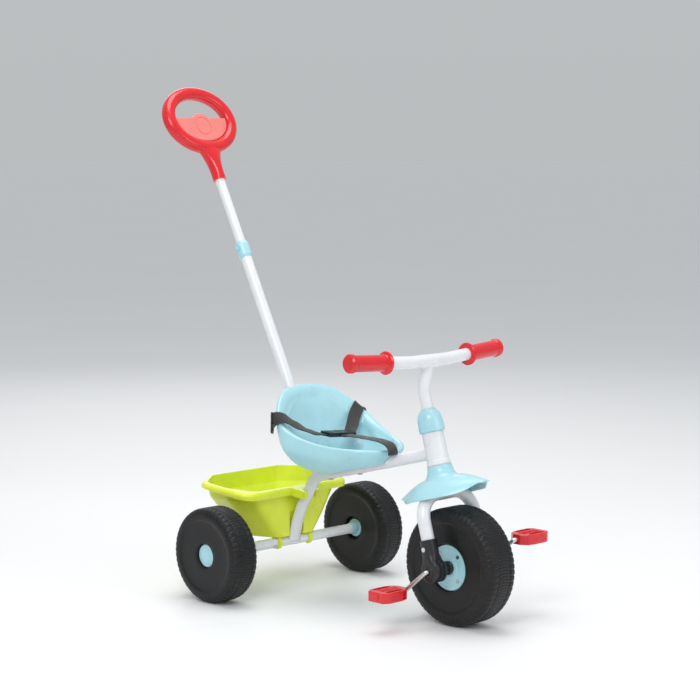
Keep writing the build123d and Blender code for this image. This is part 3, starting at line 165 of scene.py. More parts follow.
def moulded(name, colour, rough, grain=0.0, pale=None, **sockets):
    """Injection or blow moulded plastic: cloudy colour, orange peel, fine rubs and paler edges."""
    f = Finish(name, **sockets)
    cloud = f.noise(0.07, 4.0, 0.6)
    flow = f.noise(0.012, 5.0, 0.65, stretch=(1.0, 1.0, 0.35), shift=2.3)
    body = f.mix(f.span(cloud, 0.32, 0.68), shade(colour, 0.93), shade(colour, 1.05))
    body = f.mix(f.math("MULTIPLY", f.span(flow, 0.45, 0.75), 0.25), body, shade(colour, 1.12))
    rubs = f.span(f.noise(0.0035, 6.0, 0.7, stretch=(1.0, 0.25, 1.0), shift=5.1), 0.55, 0.8)
    worn = f.math("MULTIPLY", f.edge(1.2 * MM), f.span(f.noise(0.009, 4.0, 0.7, shift=7.7), 0.35, 0.7))
    body = f.mix(f.math("MULTIPLY", worn, 0.35), body, pale or shade(colour, 1.5))
    f.paint("Base Color", body)
    gloss = f.span(cloud, 0.3, 0.7, rough * 0.85, rough * 1.15)
    gloss = f.math("ADD", gloss, f.math("MULTIPLY", rubs, 0.10))
    f.paint("Roughness", f.math("ADD", gloss, f.math("MULTIPLY", worn, 0.12)))
    normal = f.bump(f.noise(0.0028, 2.0, 0.5, shift=1.1), 0.02 * MM)
    normal = f.bump(f.noise(0.035, 2.0, 0.4, shift=3.3), 0.25 * MM, 0.8, normal)
    if grain:
        normal = f.bump(f.noise(0.0007, 3.0, 0.6, shift=9.1), grain, 1.0, normal)
    f.paint("Normal", normal)
    return f.material


def powder_coat():
    """White enamel on steel tube: even orange peel, a clear gloss, faint handling marks."""
    white = (0.80, 0.81, 0.83)
    handled, chipped = (0.60, 0.61, 0.62, 1.0), (0.42, 0.43, 0.44, 1.0)
    f = Finish("white_powder_coat", Coat_Weight=0.35, Coat_Roughness=0.08, IOR=1.5)
    cloud = f.noise(0.05, 4.0, 0.6)
    body = f.mix(f.span(cloud, 0.35, 0.65), shade(white, 0.965), shade(white, 1.02))
    marks = f.span(f.noise(0.006, 6.0, 0.75, stretch=(1.0, 1.0, 0.3), shift=4.0), 0.64, 0.8)
    body = f.mix(f.math("MULTIPLY", marks, 0.12), body, handled)
    worn = f.math("MULTIPLY", f.edge(0.8 * MM), f.span(f.noise(0.004, 5.0, 0.7, shift=8.0), 0.5, 0.72))
    f.paint("Base Color", f.mix(f.math("MULTIPLY", worn, 0.5), body, chipped))
    f.paint("Roughness", f.span(cloud, 0.3, 0.7, 0.24, 0.36))
    normal = f.bump(f.noise(0.0016, 2.0, 0.5, shift=1.7), 0.03 * MM)
    f.paint("Normal", f.bump(f.noise(0.0005, 2.0, 0.5, shift=6.1), 0.006 * MM, 1.0, normal))
    return f.material


def plated_steel():
    """Zinc-plated steel: brushed along the part, spangled, dulled in patches."""
    dark, light, dulled = (0.52, 0.53, 0.55, 1.0), (0.78, 0.78, 0.79, 1.0), (0.34, 0.33, 0.31, 1.0)
    f = Finish("zinc_plated_steel", Metallic=1.0)
    patch = f.noise(0.006, 5.0, 0.7)
    brush = f.noise(0.0009, 4.0, 0.6, stretch=(1.0, 0.06, 1.0), shift=2.0)
    body = f.mix(f.span(patch, 0.3, 0.7), dark, light)
    f.paint("Base Color", f.mix(f.math("MULTIPLY", f.span(patch, 0.62, 0.8), 0.5), body, dulled))
    gloss = f.math("ADD", f.span(patch, 0.3, 0.7, 0.16, 0.34), f.span(brush, 0.3, 0.7, 0.0, 0.1))
    f.paint("Roughness", gloss)
    f.paint("Normal", f.bump(f.math("ADD", brush, f.math("MULTIPLY", patch, 0.3)), 0.02 * MM))
    return f.material


def tyre_plastic():
    """Blow-moulded black polyethylene with a leathery skin; dust greys the tread a little."""
    black = (0.0088, 0.0087, 0.0094)
    dusty, rubbed = (0.05, 0.049, 0.047, 1.0), (0.12, 0.12, 0.122, 1.0)
    f = Finish("black_wheel_plastic", IOR=1.48, Specular_IOR_Level=0.33)
    cloud = f.noise(0.045, 5.0, 0.6)
    dust = f.span(f.noise(0.016, 6.0, 0.7, shift=3.0), 0.45, 0.75)
    body = f.mix(f.span(cloud, 0.3, 0.7), shade(black, 0.8), shade(black, 1.35))
    body = f.mix(f.math("MULTIPLY", dust, 0.14), body, dusty)
    worn = f.math("MULTIPLY", f.edge(1.0 * MM), f.span(f.noise(0.006, 4.0, 0.7, shift=1.0), 0.3, 0.65))
    f.paint("Base Color", f.mix(f.math("MULTIPLY", worn, 0.3), body, rubbed))
    f.paint("Roughness", f.math("ADD", f.span(cloud, 0.3, 0.7, 0.34, 0.46), f.math("MULTIPLY", dust, 0.12)))
    normal = f.bump(f.cells(0.0013), 0.05 * MM)
    normal = f.bump(f.noise(0.02, 3.0, 0.5, shift=6.0), 0.3 * MM, 0.7, normal)
    f.paint("Normal", f.bump(f.noise(0.0005, 2.0, 0.6, shift=4.0), 0.03 * MM, 1.0, normal))
    return f.material


def webbing():
    """Black polypropylene webbing, woven: the mesh's UV is metres along and across the strap. Its colour follows the
    weave's height: painted shade in the valleys and painted highlight on the raised threads.
    """
    warp_pitch, weft_pitch = 1.5 * MM, 2.2 * MM
    # the colours of the weave's valleys (painted shade), of its raised threads (painted highlight) and of faded webbing
    shaded_valley, lit_ridge, faded = (0.008, 0.0075, 0.0075, 1.0), (0.05, 0.047, 0.046, 1.0), (0.07, 0.066, 0.062, 1.0)
    f = Finish("black_webbing", Sheen_Weight=0.35, Sheen_Roughness=0.4, Specular_IOR_Level=0.35)
    split = f.node("ShaderNodeSeparateXYZ")
    f.feed(split.inputs[0], f.node("ShaderNodeUVMap").outputs["UV"])
    along, across = split.outputs[0], split.outputs[1]
    warp = f.math("SINE", f.math("MULTIPLY", across, TURN / warp_pitch))
    shift = f.math("MULTIPLY", f.math("SIGN", warp), 0.5 * math.pi)
    weft = f.math("SINE", f.math("ADD", f.math("MULTIPLY", along, TURN / weft_pitch), shift))
    raised = f.math("MULTIPLY", f.math("ABSOLUTE", warp), 0.6)
    weave = f.math("ADD", raised, f.math("MULTIPLY", weft, 0.4))
    fibre = f.noise(0.0004, 3.0, 0.7)
    height = f.math("ADD", weave, f.math("MULTIPLY", fibre, 0.35))
    # painted shade and highlight: darker in the weave's valleys and lighter on its raised threads, by their height
    body = f.mix(f.span(height, -0.2, 1.1), shaded_valley, lit_ridge)
    fading = f.math("MULTIPLY", f.span(f.noise(0.02, 4.0, 0.6), 0.5, 0.75), 0.3)
    f.paint("Base Color", f.mix(fading, body, faded))
    f.paint("Roughness", f.span(fibre, 0.3, 0.7, 0.5, 0.72))
    f.paint("Normal", f.bump(height, 0.22 * MM))
    return f.material


def thread():
    """Twisted black sewing thread."""
    f = Finish("black_thread", Roughness=0.55, Sheen_Weight=0.3)
    twist = f.noise(0.0006, 3.0, 0.6)
    f.paint("Base Color", f.mix(twist, (0.03, 0.028, 0.028, 1.0), (0.10, 0.095, 0.09, 1.0)))
    f.paint("Normal", f.bump(twist, 0.08 * MM))
    return f.material


def floor_paint():
    """The studio's pale floor: nearly even, with a fine tooth."""
    f = Finish("pale_floor", Specular_IOR_Level=0.25)
    cloud = f.noise(0.6, 4.0, 0.5)
    f.paint("Base Color", f.mix(cloud, (0.90, 0.90, 0.905, 1.0), (0.93, 0.93, 0.93, 1.0)))
    f.paint("Roughness", f.span(f.noise(0.05, 3.0, 0.5), 0.3, 0.7, 0.5, 0.6))
    f.paint("Normal", f.bump(f.noise(0.004, 3.0, 0.5), 0.02 * MM))
    return f.material


WHITE = (0.78, 0.78, 0.79, 1.0)
BLUE = (0.41, 0.72, 0.79, 1.0)
LIME = (0.76, 0.86, 0.035, 1.0)
RED = (0.70, 0.009, 0.016, 1.0)
PALE_RED = (0.80, 0.22, 0.19, 1.0)
BLACK = (0.014, 0.014, 0.0152, 1.0)

FINISHES = {
    "white_paint": powder_coat(),
    "bright_steel": plated_steel(),
    "blue_plastic": moulded("light_blue_plastic", BLUE, 0.30, Coat_Weight=0.25, Coat_Roughness=0.12, IOR=1.5,
                            Subsurface_Weight=0.06, Subsurface_Scale=0.004),
    "white_plastic": moulded("white_plastic", WHITE, 0.4),
    "red_plastic": moulded("red_plastic", RED, 0.26, Coat_Weight=0.3, Coat_Roughness=0.1, IOR=1.5,
                           pale=(0.85, 0.16, 0.16, 1.0)),
    "pale_red_plastic": moulded("pale_red_plastic", PALE_RED, 0.42, pale=(0.9, 0.35, 0.33, 1.0)),
    "lime_plastic": moulded("lime_plastic", LIME, 0.3, Coat_Weight=0.2, Coat_Roughness=0.15, IOR=1.49,
                            Subsurface_Weight=0.08, Subsurface_Scale=0.004, pale=(0.82, 0.9, 0.3, 1.0)),
    "black_plastic": moulded("black_plastic", BLACK, 0.36, grain=0.02 * MM, pale=(0.10, 0.10, 0.105, 1.0)),
    "black_webbing": webbing(),
}
TYRE = tyre_plastic()
THREAD = thread()

SLOTS = {row["node"]: row["material_slot"] for row in frame["record"]["subparts"]}
for name, node in NODES.items():
    node.data.materials.clear()
    node.data.materials.append(FINISHES[SLOTS[name]])
for name in ("front_wheel", "rear_wheel_left", "rear_wheel_right"):
    NODES[name].data.materials[0] = TYRE
NODES["front_core"].data.materials[0] = FINISHES["black_plastic"]

# ---------------------------------------------------------------------------
# Shared mesh helpers
# ---------------------------------------------------------------------------


def in_scene(name, data):
    """A new object in the scene for a mesh, a lamp or a camera."""
    made = bpy.data.objects.new(name, data)
    bpy.context.collection.objects.link(made)
    return made


def piece(name, mesh, material, body):
    """A finished, smooth piece of the object from a bmesh built in the frame's coordinates."""
    data = bpy.data.meshes.new(name)
    bmesh.ops.recalc_face_normals(mesh, faces=mesh.faces)
    mesh.to_mesh(data)
    mesh.free()
    data.polygons.foreach_set("use_smooth", [True] * len(data.polygons))
    data.materials.append(material)
    made = in_scene(name, data)
    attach(made, body)
    return made


def with_modifiers(target):
    """Swap a piece's mesh for the one that its modifiers make of it."""
    ready = bpy.data.meshes.new_from_object(target.evaluated_get(bpy.context.evaluated_depsgraph_get()))
    target.modifiers.clear()
    target.data = ready
    return ready


def crisp(made, degrees):
    """Keep the shading sharp where faces meet at more than this angle."""
    split = made.modifiers.new("crisp", "EDGE_SPLIT")
    split.split_angle = math.radians(degrees)


def turns(count):
    """Evenly spaced angles once round."""
    return (TURN * k / count for k in range(count))


def skin(mesh, rings, closed=False, capped=False):
    """Faces between neighbouring rings; closed joins the last ring to the first, capped fills both ends."""
    count = len(rings[0])
    for a, b in zip(rings, rings[1:] + (rings[:1] if closed else [])):
        for k in range(count):
            j = (k + 1) % count
            mesh.faces.new((a[k], a[j], b[j], b[k]))
    if capped:
        mesh.faces.new(rings[0])
        mesh.faces.new(rings[-1])


def smooth_line(points, step):
    """A Catmull-Rom line through the points, as (position, fraction of the way in stations)."""
    line = []
    last = len(points) - 1
    for i in range(last):
        a, b = points[i], points[i + 1]
        before = points[i - 1] if i else a * 2 - b
        after = points[i + 2] if i + 2 <= last else b * 2 - a
        count = max(2, round((b - a).length / step))
        for k in range(count + (i == last - 1)):
            t = k / count
            place = 0.5 * (
                2 * a + (b - before) * t + (2 * before - 5 * a + 4 * b - after) * t * t
                + (3 * a - before - 3 * b + after) * t ** 3
            )
            line.append((place, i + t))
    return line


# ---------------------------------------------------------------------------
# Seat: the CAD shell with the broad, soft roll that blow moulding gives its rim
# ---------------------------------------------------------------------------

# Height, then rear, widest place and nose ahead of the axle, and half width, all in millimetres.
SEAT_SKIN = [
    (234, 104, 135, 204, 38), (267, 72, 115, 259, 97), (302, 53, 106, 286, 118), (332, 43, 101, 294, 120),
    (353, 38, 98, 297, 119), (372, 31, 95, 299, 113), (388, 25, 92, 301, 102), (404, 18, 88, 303, 78),
]
SEAT_BUCKET = [
    (258, 122, 150, 200, 42), (286, 86, 122, 250, 82), (306, 74, 114, 266, 95), (336, 62, 108, 274, 99),
    (358, 55, 104, 278, 98), (380, 47, 100, 282, 88), (408, 36, 94, 286, 58),
]
# How high the rim is, at these distances ahead of the axle.
RIM_LINE = [(-30, 402), (10, 401.5), (27, 400), (51, 386), (66, 369), (98, 337), (150, 314.5), (200, 305),
            (245, 301), (300, 295)]
BACK_POWER, NOSE_POWER = 2.0, 1.72  # the teardrop's superellipses behind and ahead of its widest place
ROLL_DROP = 15.0  # how far the roll falls from its crown to the inner wall
ROLL_CROWN = 0.22  # where its crown is, from the outside in
ROLL_DEPTH = 48.0  # the roll's pull on the inner wall fades out at this depth
THINNEST = 4.0  # the wall is taken to be at least this wide across the roll
SEAT_VOXEL = 2.0 * MM


def outline(levels, heights, bearings):
    """How far out the teardrop is at these heights and bearings about its widest place, and where that is."""
    table = np.array(levels, float)
    rear, wide, nose, half = (np.interp(heights, table[:, 0], table[:, k]) for k in range(1, 5))
    back = np.abs(bearings) > math.pi / 2
    length = np.where(back, wide - rear, nose - wide)
    power = np.where(back, BACK_POWER, NOSE_POWER)
    c, s = np.abs(np.cos(bearings)) / length, np.abs(np.sin(bearings)) / half
    return (c ** power + s ** power) ** (-1 / power), wide


def rolled_seat():
    """The CAD shell in small, even faces, its rim drawn down on the inside into a soft roll.

    The roll takes in the pommel too, so that its underside cuts up to 6.35 mm into the backbone: an open fault.
    """
    made = in_scene("seat_shell_rolled", NODES["seat_shell"].data.copy())
    remesh = made.modifiers.new("skin", "REMESH")
    remesh.mode, remesh.voxel_size = "VOXEL", SEAT_VOXEL
    ready = with_modifiers(made)
    place = np.empty(len(ready.vertices) * 3)
    ready.vertices.foreach_get("co", place)
    place = place.reshape(-1, 3)
    x, y, z = (place[:, 0] - AXLE_X) / MM, place[:, 1] / MM, place[:, 2] / MM
    rim = np.interp(x, *zip(*RIM_LINE))
    middle = np.interp(z, [row[0] for row in SEAT_SKIN], [row[2] for row in SEAT_SKIN])
    bearing = np.arctan2(y, x - middle)
    reach = np.hypot(y, x - middle)
    outer, wide_out = outline(SEAT_SKIN, z, bearing)
    inner, wide_in = outline(SEAT_BUCKET, z, bearing)
    inner = inner + (wide_in - wide_out) * np.cos(bearing)
    inward = np.clip((outer - reach) / np.maximum(outer - inner, THINNEST), 0, 1)
    past = np.clip((inward - ROLL_CROWN) / (1 - ROLL_CROWN), 0, 1)
    drop = ROLL_DROP * (1 - np.sqrt(1 - np.minimum(past, 0.995) ** 2))
    fade = np.clip(1 - (rim - z) / ROLL_DEPTH, 0, 1)
    place[:, 2] -= drop * fade * MM
    ready.vertices.foreach_set("co", place.reshape(-1))
    ready.polygons.foreach_set("use_smooth", [True] * len(ready.polygons))
    ready.materials.clear()
    ready.materials.append(FINISHES["blue_plastic"])
    relax = made.modifiers.new("relax", "SMOOTH")
    relax.factor, relax.iterations = 0.5, 6
    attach(made, "frame")
    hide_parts("seat_shell")


rolled_seat()

# ---------------------------------------------------------------------------
# Harness: woven straps with thick selvedges, sewn ends and stitching
# ---------------------------------------------------------------------------
WEB_HALF = 12.0 * MM
WEB_THICK = 1.6 * MM
WEB_STEP = 2 * MM  # between the stations that a strap's mesh is built on
WEB_COLUMNS = 32  # faces across a strap
WEB_RIB, SELVEDGE, SELVEDGE_SHARE, TUCK_SHARE = 0.07 * MM, 0.25 * MM, 0.14, 0.05
CROWN, CROWN_RUN = 0.6 * MM, 10 * MM  # a strap's middle bulges so far, and less near its ends
SWAY, SWAY_RUN = 0.25 * MM, 0.031  # it rocks from side to side by so much along each such length
STITCH_RUN, STITCH_EDGE, THREAD_R = 2.6 * MM, 0.72, 0.28 * MM

# Each station: the middle of the strap, then the direction across it.
FLAT = Vector((1, 0, -0.05))
RIM_RUN = Vector((0.73, 0, -0.68))
LEFT_RIM_RUN = Vector((0.63, 0.47, -0.62))
STRAPS = {
    "waist_strap_right": [
        (ahead(128, 316, -37), FLAT),
        (ahead(122, 322.5, -64), Vector((0.9, 0, -0.35))),
        (ahead(106, 337.5, -90), Vector((0.8, 0, -0.6))),
        (ahead(93, 350.5, -108), RIM_RUN),
        (ahead(88, 351, -119.5), Vector((0.6, 0, -0.7))),
        (ahead(80, 345.5, -120.5), Vector((0.4, 0, -0.9))),
        (ahead(70, 339.5, -114.2), Vector((0.3, 0, -1))),
    ],
    "waist_strap_left": [
        (ahead(125, 310, 36), FLAT),
        (ahead(109.5, 321, 57.5), Vector((0.9, 0.1, -0.35))),
        (ahead(91.5, 338, 82.5), Vector((0.8, 0, -0.6))),
        (ahead(83, 351.8, 101.5), Vector((0.66, 0.35, -0.64))),
        (ahead(80.7, 354, 106), LEFT_RIM_RUN),
        (ahead(78.2, 353, 110), LEFT_RIM_RUN),
        (ahead(75.6, 347, 113.4), LEFT_RIM_RUN),
        (ahead(74.8, 338.5, 114.8), LEFT_RIM_RUN),
    ],
    "crotch_strap": [
        (ahead(146, 312, 5), LEFT),
        (ahead(200, 314, -3), LEFT),
        (ahead(252, 314.5, -11), Vector((0, 1, 0.03))),
        (ahead(279.5, 311, -15.5), Vector((0, 1, 0.05))),
        (ahead(291, 302, -17), Vector((0, 1, 0.05))),
        (ahead(292, 292, -17), Vector((0, 1, 0.05))),
    ],
}


def strap_frames(stations):
    """(place, run, across, normal, length so far) at every step along a strap."""
    line = smooth_line([s[0] for s in stations], WEB_STEP)
    frames = []
    length = 0.0
    for i, (place, at) in enumerate(line):
        ahead_of, behind = line[min(i + 1, len(line) - 1)][0], line[max(i - 1, 0)][0]
        run = (ahead_of - behind).normalized()
        k = min(int(at), len(stations) - 2)
        blend = at - k
        blend = blend * blend * (3 - 2 * blend)
        across = stations[k][1].normalized().lerp(stations[k + 1][1].normalized(), blend)
        across = (across - run * across.dot(run)).normalized()
        if i:
            length += (place - line[i - 1][0]).length
        frames.append((place, run, across, run.cross(across).normalized(), length))
    return frames


def crown_at(length, whole):
    """How far a strap's middle stands above its edges, at this length along it."""
    return CROWN * min(1.0, min(length, whole - length) / CROWN_RUN)


def strap(name, stations):
    """Webbing with ribs along it, thicker selvedges and a slight crown; the UV is in metres."""
    frames = strap_frames(stations)
    mesh = bmesh.new()
    uv = mesh.loops.layers.uv.new("UVMap")
    profile = []
    for side in (1, -1):
        for k in range(WEB_COLUMNS + 1):
            v = (k / WEB_COLUMNS * 2 - 1) * side
            rib = WEB_RIB * math.cos(v * math.pi * 16)
            selvedge = SELVEDGE * max(0.0, (abs(v) - (1 - SELVEDGE_SHARE)) / SELVEDGE_SHARE)
            tuck = 1.0 - 0.5 * max(0.0, (abs(v) - (1 - TUCK_SHARE)) / TUCK_SHARE)
            profile.append((v, side * (0.5 * WEB_THICK + rib + selvedge) * tuck))
    rows = []
    whole = frames[-1][4]
    for place, _, across, normal, length in frames:
        sway = SWAY * math.sin(length * TURN / SWAY_RUN)
        crown = crown_at(length, whole)
        rows.append([
            mesh.verts.new(place + across * (v * WEB_HALF) + normal * (t + crown * (1 - v * v) + sway * v))
            for v, t in profile
        ])
    n = len(profile)
    for i in range(len(rows) - 1):
        for k in range(n):
            j = (k + 1) % n
            face = mesh.faces.new((rows[i][k], rows[i][j], rows[i + 1][j], rows[i + 1][k]))
            spots = ((i, k), (i, j), (i + 1, j), (i + 1, k))
            for loop, (r, c) in zip(face.loops, spots):
                loop[uv].uv = (frames[r][4], profile[c][0] * WEB_HALF)
    for row in (rows[0], rows[-1]):
        mesh.faces.new(row)
    made = piece(name + "_webbing", mesh, FINISHES["black_webbing"], "frame")
    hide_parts(name)
    return frames


def capsule(mesh, a, b, radius, sides=6):
    """A short thread with rounded ends."""
    axis = (b - a).normalized()
    u = axis.orthogonal().normalized()
    w = axis.cross(u)
    rings = []
    for along, size in ((0.0, 0.35), (0.18, 0.9), (0.5, 1.0), (0.82, 0.9), (1.0, 0.35)):
        centre = a.lerp(b, along)
        rings.append([
            mesh.verts.new(centre + (u * math.cos(q) + w * math.sin(q)) * radius * size) for q in turns(sides)
        ])
    skin(mesh, rings, capped=True)


def stitches(name, frames, begin, end):
    """A sewn box with a cross: short raised threads on both faces of a strap, between two lengths."""
    mesh = bmesh.new()
    corners = [(begin, -STITCH_EDGE), (begin, STITCH_EDGE), (end, STITCH_EDGE), (end, -STITCH_EDGE)]
    runs = [(corners[i], corners[(i + 1) % 4]) for i in range(4)]
    runs += [(corners[0], corners[2]), (corners[1], corners[3])]
    for (l0, v0), (l1, v1) in runs:
        span = math.hypot(l1 - l0, (v1 - v0) * WEB_HALF)
        count = max(2, round(span / STITCH_RUN))
        for k in range(count):
            for side in (1, -1):
                ends = []
                for t in ((k + 0.14) / count, (k + 0.86) / count):
                    length, v = l0 + (l1 - l0) * t, v0 + (v1 - v0) * t
                    place, run, across, normal, at = min(frames, key=lambda f: abs(f[4] - length))
                    lift = crown_at(at, frames[-1][4]) * (1 - v * v) + side * (0.5 * WEB_THICK + 0.12 * MM)
                    ends.append(place + run * (length - at) + across * (v * WEB_HALF) + normal * lift)
                capsule(mesh, ends[0], ends[1], THREAD_R)
    piece(name, mesh, THREAD, "frame")


for strap_name, strap_stations in STRAPS.items():
    laid = strap(strap_name, strap_stations)
    whole = laid[-1][4]
    stitches(strap_name + "_stitches_inner", laid, 4 * MM, 20 * MM)
    stitches(strap_name + "_stitches_outer", laid, whole - 13 * MM, whole - 3 * MM)

# ---------------------------------------------------------------------------
# Wheels: the moulded tyres with their fine centre ribs and shoulder lugs. Sizes in millimetres.
# ---------------------------------------------------------------------------
HUB_HOLE = 12.6
REAR_HUB = {side_name: ahead(0, 90, 196 * side) for side_name, side in SIDES.items()}
FRONT_HUB = ahead(443.7, 107)
BAND_SHARE = 0.40  # the centre ribs' band, as a share of the tyre's half width
LUG_CUT, RIB_CUT, RING_CUT = 1.3, 1.0, 1.5  # depths between lugs, between ribs, and of the groove between the two
LUG_LAND, LUG_SLOPE = 0.74, 0.2  # a lug's raised share of its pitch, and how slowly its sides fall
RIB_LAND, RIB_SLOPE = 0.62, 0.3
LUG_LEAN, RIB_LEAN = 0.12, 0.35  # how far they lean round the wheel on their way outboard
BAND_GAP = 1.2  # from the band's edge to the ribs and to the lugs
STEPS_PER_RIB = 6
SHOULDER_STEPS, CROWN_ROWS, WALL_ROWS = 14, 10, 4
TYRE_WALL = 3.0
ROUND_SIDES = 96

# (radius, distance outboard of the wheel's middle), from the axis over the dome and back along the stem.
HUB_CAP = [
    (0, 24.6), (6, 24.55), (12, 24.3), (16, 23.9), (17.2, 23.3), (18.0, 23.3), (18.6, 23.7), (20.6, 23.3),
    (21.8, 22.4), (22.3, 20.9), (22.3, 19.3), (12.3, 19.2), (12.3, 12.6), (10.1, 12.6), (10.1, 18.2), (0, 18.2),
]


def bevelled_wave(turn, count, land, slope):
    """1 on a rib and 0 in a groove, with sloping sides, for a turn counted in whole revolutions."""
    phase = (turn * count) % 1.0
    near = min(phase, 1 - phase) * 2
    return min(1.0, max(0.0, (land - near) / slope + 0.5))


def ramp(value, start, stop):
    """A soft step from 0 at start to 1 at stop."""
    t = min(1.0, max(0.0, (value - start) / (stop - start)))
    return t * t * (3 - 2 * t)


def tyre_profile(radius, half, shoulder, dish, face, hole):
    """The tyre's (radius, distance outboard): the skin from hub to hub, and the lining back again."""
    ring = 0.79 * radius  # where a low ring is moulded in the wall
    wall = half - 2.2
    side = [(hole, face), (dish - 0.8, face), (dish, face + 1), (dish, half - 4), (dish + 1, half - 2.6),
            (dish + 3, wall)]
    for k in range(1, WALL_ROWS + 1):
        r = dish + 3 + (ring - 7 - dish - 3) * k / WALL_ROWS
        side.append((r, wall - 0.5 * math.sin(math.pi * (r - dish - 3) / (ring - 10 - dish))))
    side += [(ring - 4.5, half - 1.9), (ring - 3, half - 1.0), (ring - 1, half - 0.3), (ring + 1.2, half - 0.1),
             (ring + 2.6, half - 0.1)]
    low, inner = radius - 1.12 * shoulder, half - shoulder * 1.05
    for k in range(SHOULDER_STEPS + 1):
        q = math.pi / 2 * k / SHOULDER_STEPS
        across, up = math.sin(q) ** 0.92, 1 - math.cos(q) ** 0.92
        side.append((low + (radius - low) * across, half - shoulder * 1.05 * up))
    side += [(radius, inner * (1 - k / CROWN_ROWS)) for k in range(1, CROWN_ROWS)]
    outside = side + [(radius, 0.0)] + [(r, -h) for r, h in reversed(side)]
    lining = [
        (hole, face - TYRE_WALL), (dish + TYRE_WALL, face - TYRE_WALL), (dish + TYRE_WALL, half - 3 - TYRE_WALL),
        (radius - 4 - shoulder, half - 3 - TYRE_WALL), (radius - 4 - TYRE_WALL, half - 1.2 * shoulder),
    ]
    return outside, [(r, -h) for r, h in lining] + lining[::-1]


def tread_cut(turn, r, h, radius, half, shoulder, ribs, lugs):
    """How deep the tread is cut at a place on the skin."""
    band, off = BAND_SHARE * half, abs(h)
    if r > radius - 1.35 * shoulder and off > band + BAND_GAP:
        lean = LUG_LEAN * (off - band) / half
        stagger = 0.5 / lugs if h < 0 else 0
        lug = bevelled_wave(turn + stagger + lean / lugs * 2, lugs, LUG_LAND, LUG_SLOPE)
        return LUG_CUT * (1 - lug) * ramp(r, radius - 1.3 * shoulder, radius - 0.55 * shoulder)
    if r > radius - 1 and off <= band - BAND_GAP:
        rib = bevelled_wave(turn + off / band * RIB_LEAN / ribs, ribs, RIB_LAND, RIB_SLOPE)
        return RIB_CUT * (1 - rib) * (1 if off > 0.8 else 0.25)  # shallower on the middle line
    if r > radius - 1 and off < band + 1.3:
        return RING_CUT
    return 0.0


def tyre(name, hub, radius, half, shoulder, dish, face, ribs, lugs):
    """One wheel about its hub: half its width, its shoulder, and the radius and face of the dish in each side."""
    outside, lining = tyre_profile(radius, half, shoulder, dish, face, HUB_HOLE)
    steps = ribs * STEPS_PER_RIB
    mesh = bmesh.new()
    rings = []
    for index, (r, h) in enumerate(outside + lining):
        inward = 1.0 if r > radius - 0.5 * shoulder else 0.6  # the share of a cut that goes towards the axle
        ring = []
        for k in range(steps):
            turn = k / steps
            cut = tread_cut(turn, r, h, radius, half, shoulder, ribs, lugs) if index < len(outside) else 0.0
            q = TURN * turn
            ring.append(mesh.verts.new(hub + Vector((
                (r - cut * inward) * math.sin(q) * MM,
                (h - math.copysign(cut * (1 - inward), h)) * MM,
                -(r - cut * inward) * math.cos(q) * MM,
            ))))
        rings.append(ring)
    skin(mesh, rings, closed=True)
    made = piece(name + "_tyre", mesh, TYRE, name)
    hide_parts(name)
    crisp(made, 42)


def turned(name, hub, side, points, material, body, closed=False):
    """A round piece about a hub, from (radius, outboard) points: a closed loop, or from axis to axis."""
    mesh = bmesh.new()
    rings = []
    for r, h in points:
        if r == 0:
            rings.append([mesh.verts.new(hub + Vector((0, side * h * MM, 0)))] * ROUND_SIDES)
            continue
        rings.append([
            mesh.verts.new(hub + Vector((r * math.sin(q) * MM, side * h * MM, -r * math.cos(q) * MM)))
            for q in turns(ROUND_SIDES)
        ])
    for a, b in zip(rings, rings[1:] + (rings[:1] if closed else [])):
        for k in range(ROUND_SIDES):
            j = (k + 1) % ROUND_SIDES
            mesh.faces.new(list(dict.fromkeys((a[k], a[j], b[j], b[k]))))  # a point on the axis counts once
    return piece(name, mesh, material, body)


tyre("front_wheel", FRONT_HUB, 107.0, 36.5, 15.0, 43.0, 25.5, 120, 60)
for side_name, hub in REAR_HUB.items():
    tyre("rear_wheel_" + side_name, hub, 90.0, 30.75, 13.5, 23.4, 18.95, 100, 50)
for side_name, hub in REAR_HUB.items():
    made = turned("hub_cap_" + side_name + "_domed", hub, SIDES[side_name], HUB_CAP, FINISHES["blue_plastic"],
                  "rear_wheel_" + side_name)
    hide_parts("hub_cap_" + side_name)

# ---------------------------------------------------------------------------
# Weld beads where the backbone meets the head tube and the rear axle's tube
# ---------------------------------------------------------------------------
STEER_TILT = math.radians(16.3)
STEER_UP = Vector((-math.sin(STEER_TILT), 0, math.cos(STEER_TILT)))
STEER_FORE = Vector((math.cos(STEER_TILT), 0, math.sin(STEER_TILT)))
BACKBONE_FRONT = ahead(386, 304.9)
BACKBONE_KNEE = ahead(68, 224.2)
BACKBONE_FOOT = ahead(5.5, 91)
FOOT_WAY = Vector((-0.22, 0, -1)).normalized()
FOOT_WIDE, FOOT_DEEP = 15.6 * MM, 7.2 * MM  # half the squashed foot, across and along the tricycle
# The radii on which the beads are laid, which aren't all the tubes' own: the backbone's is 11.0 mm.
BACKBONE_RING_R, HEAD_RING_R, AXLE_RING_R = 11.4 * MM, 20.0 * MM, 9.75 * MM
RAY_BACK = 40 * MM
BEAD_SIDES = 10


def reach_cylinder(start, way, centre, axis, radius):
    """Where a ray first meets a cylinder."""
    gap = start - centre
    gap -= axis * gap.dot(axis)
    flat = way - axis * way.dot(axis)
    a, b, c = flat.dot(flat), 2 * gap.dot(flat), gap.dot(gap) - radius * radius
    root = math.sqrt(max(0.0, b * b - 4 * a * c))
    return start + way * ((-b - root) / (2 * a))


def tube_rays(end, way, half_wide, half_high, count):
    """Starts of rays along an elliptical tube's wall, from well behind its end."""
    up = way.cross(LEFT).normalized()
    return [
        end + LEFT * (half_wide * math.cos(q)) + up * (half_high * math.sin(q)) - way * RAY_BACK
        for q in turns(count)
    ]


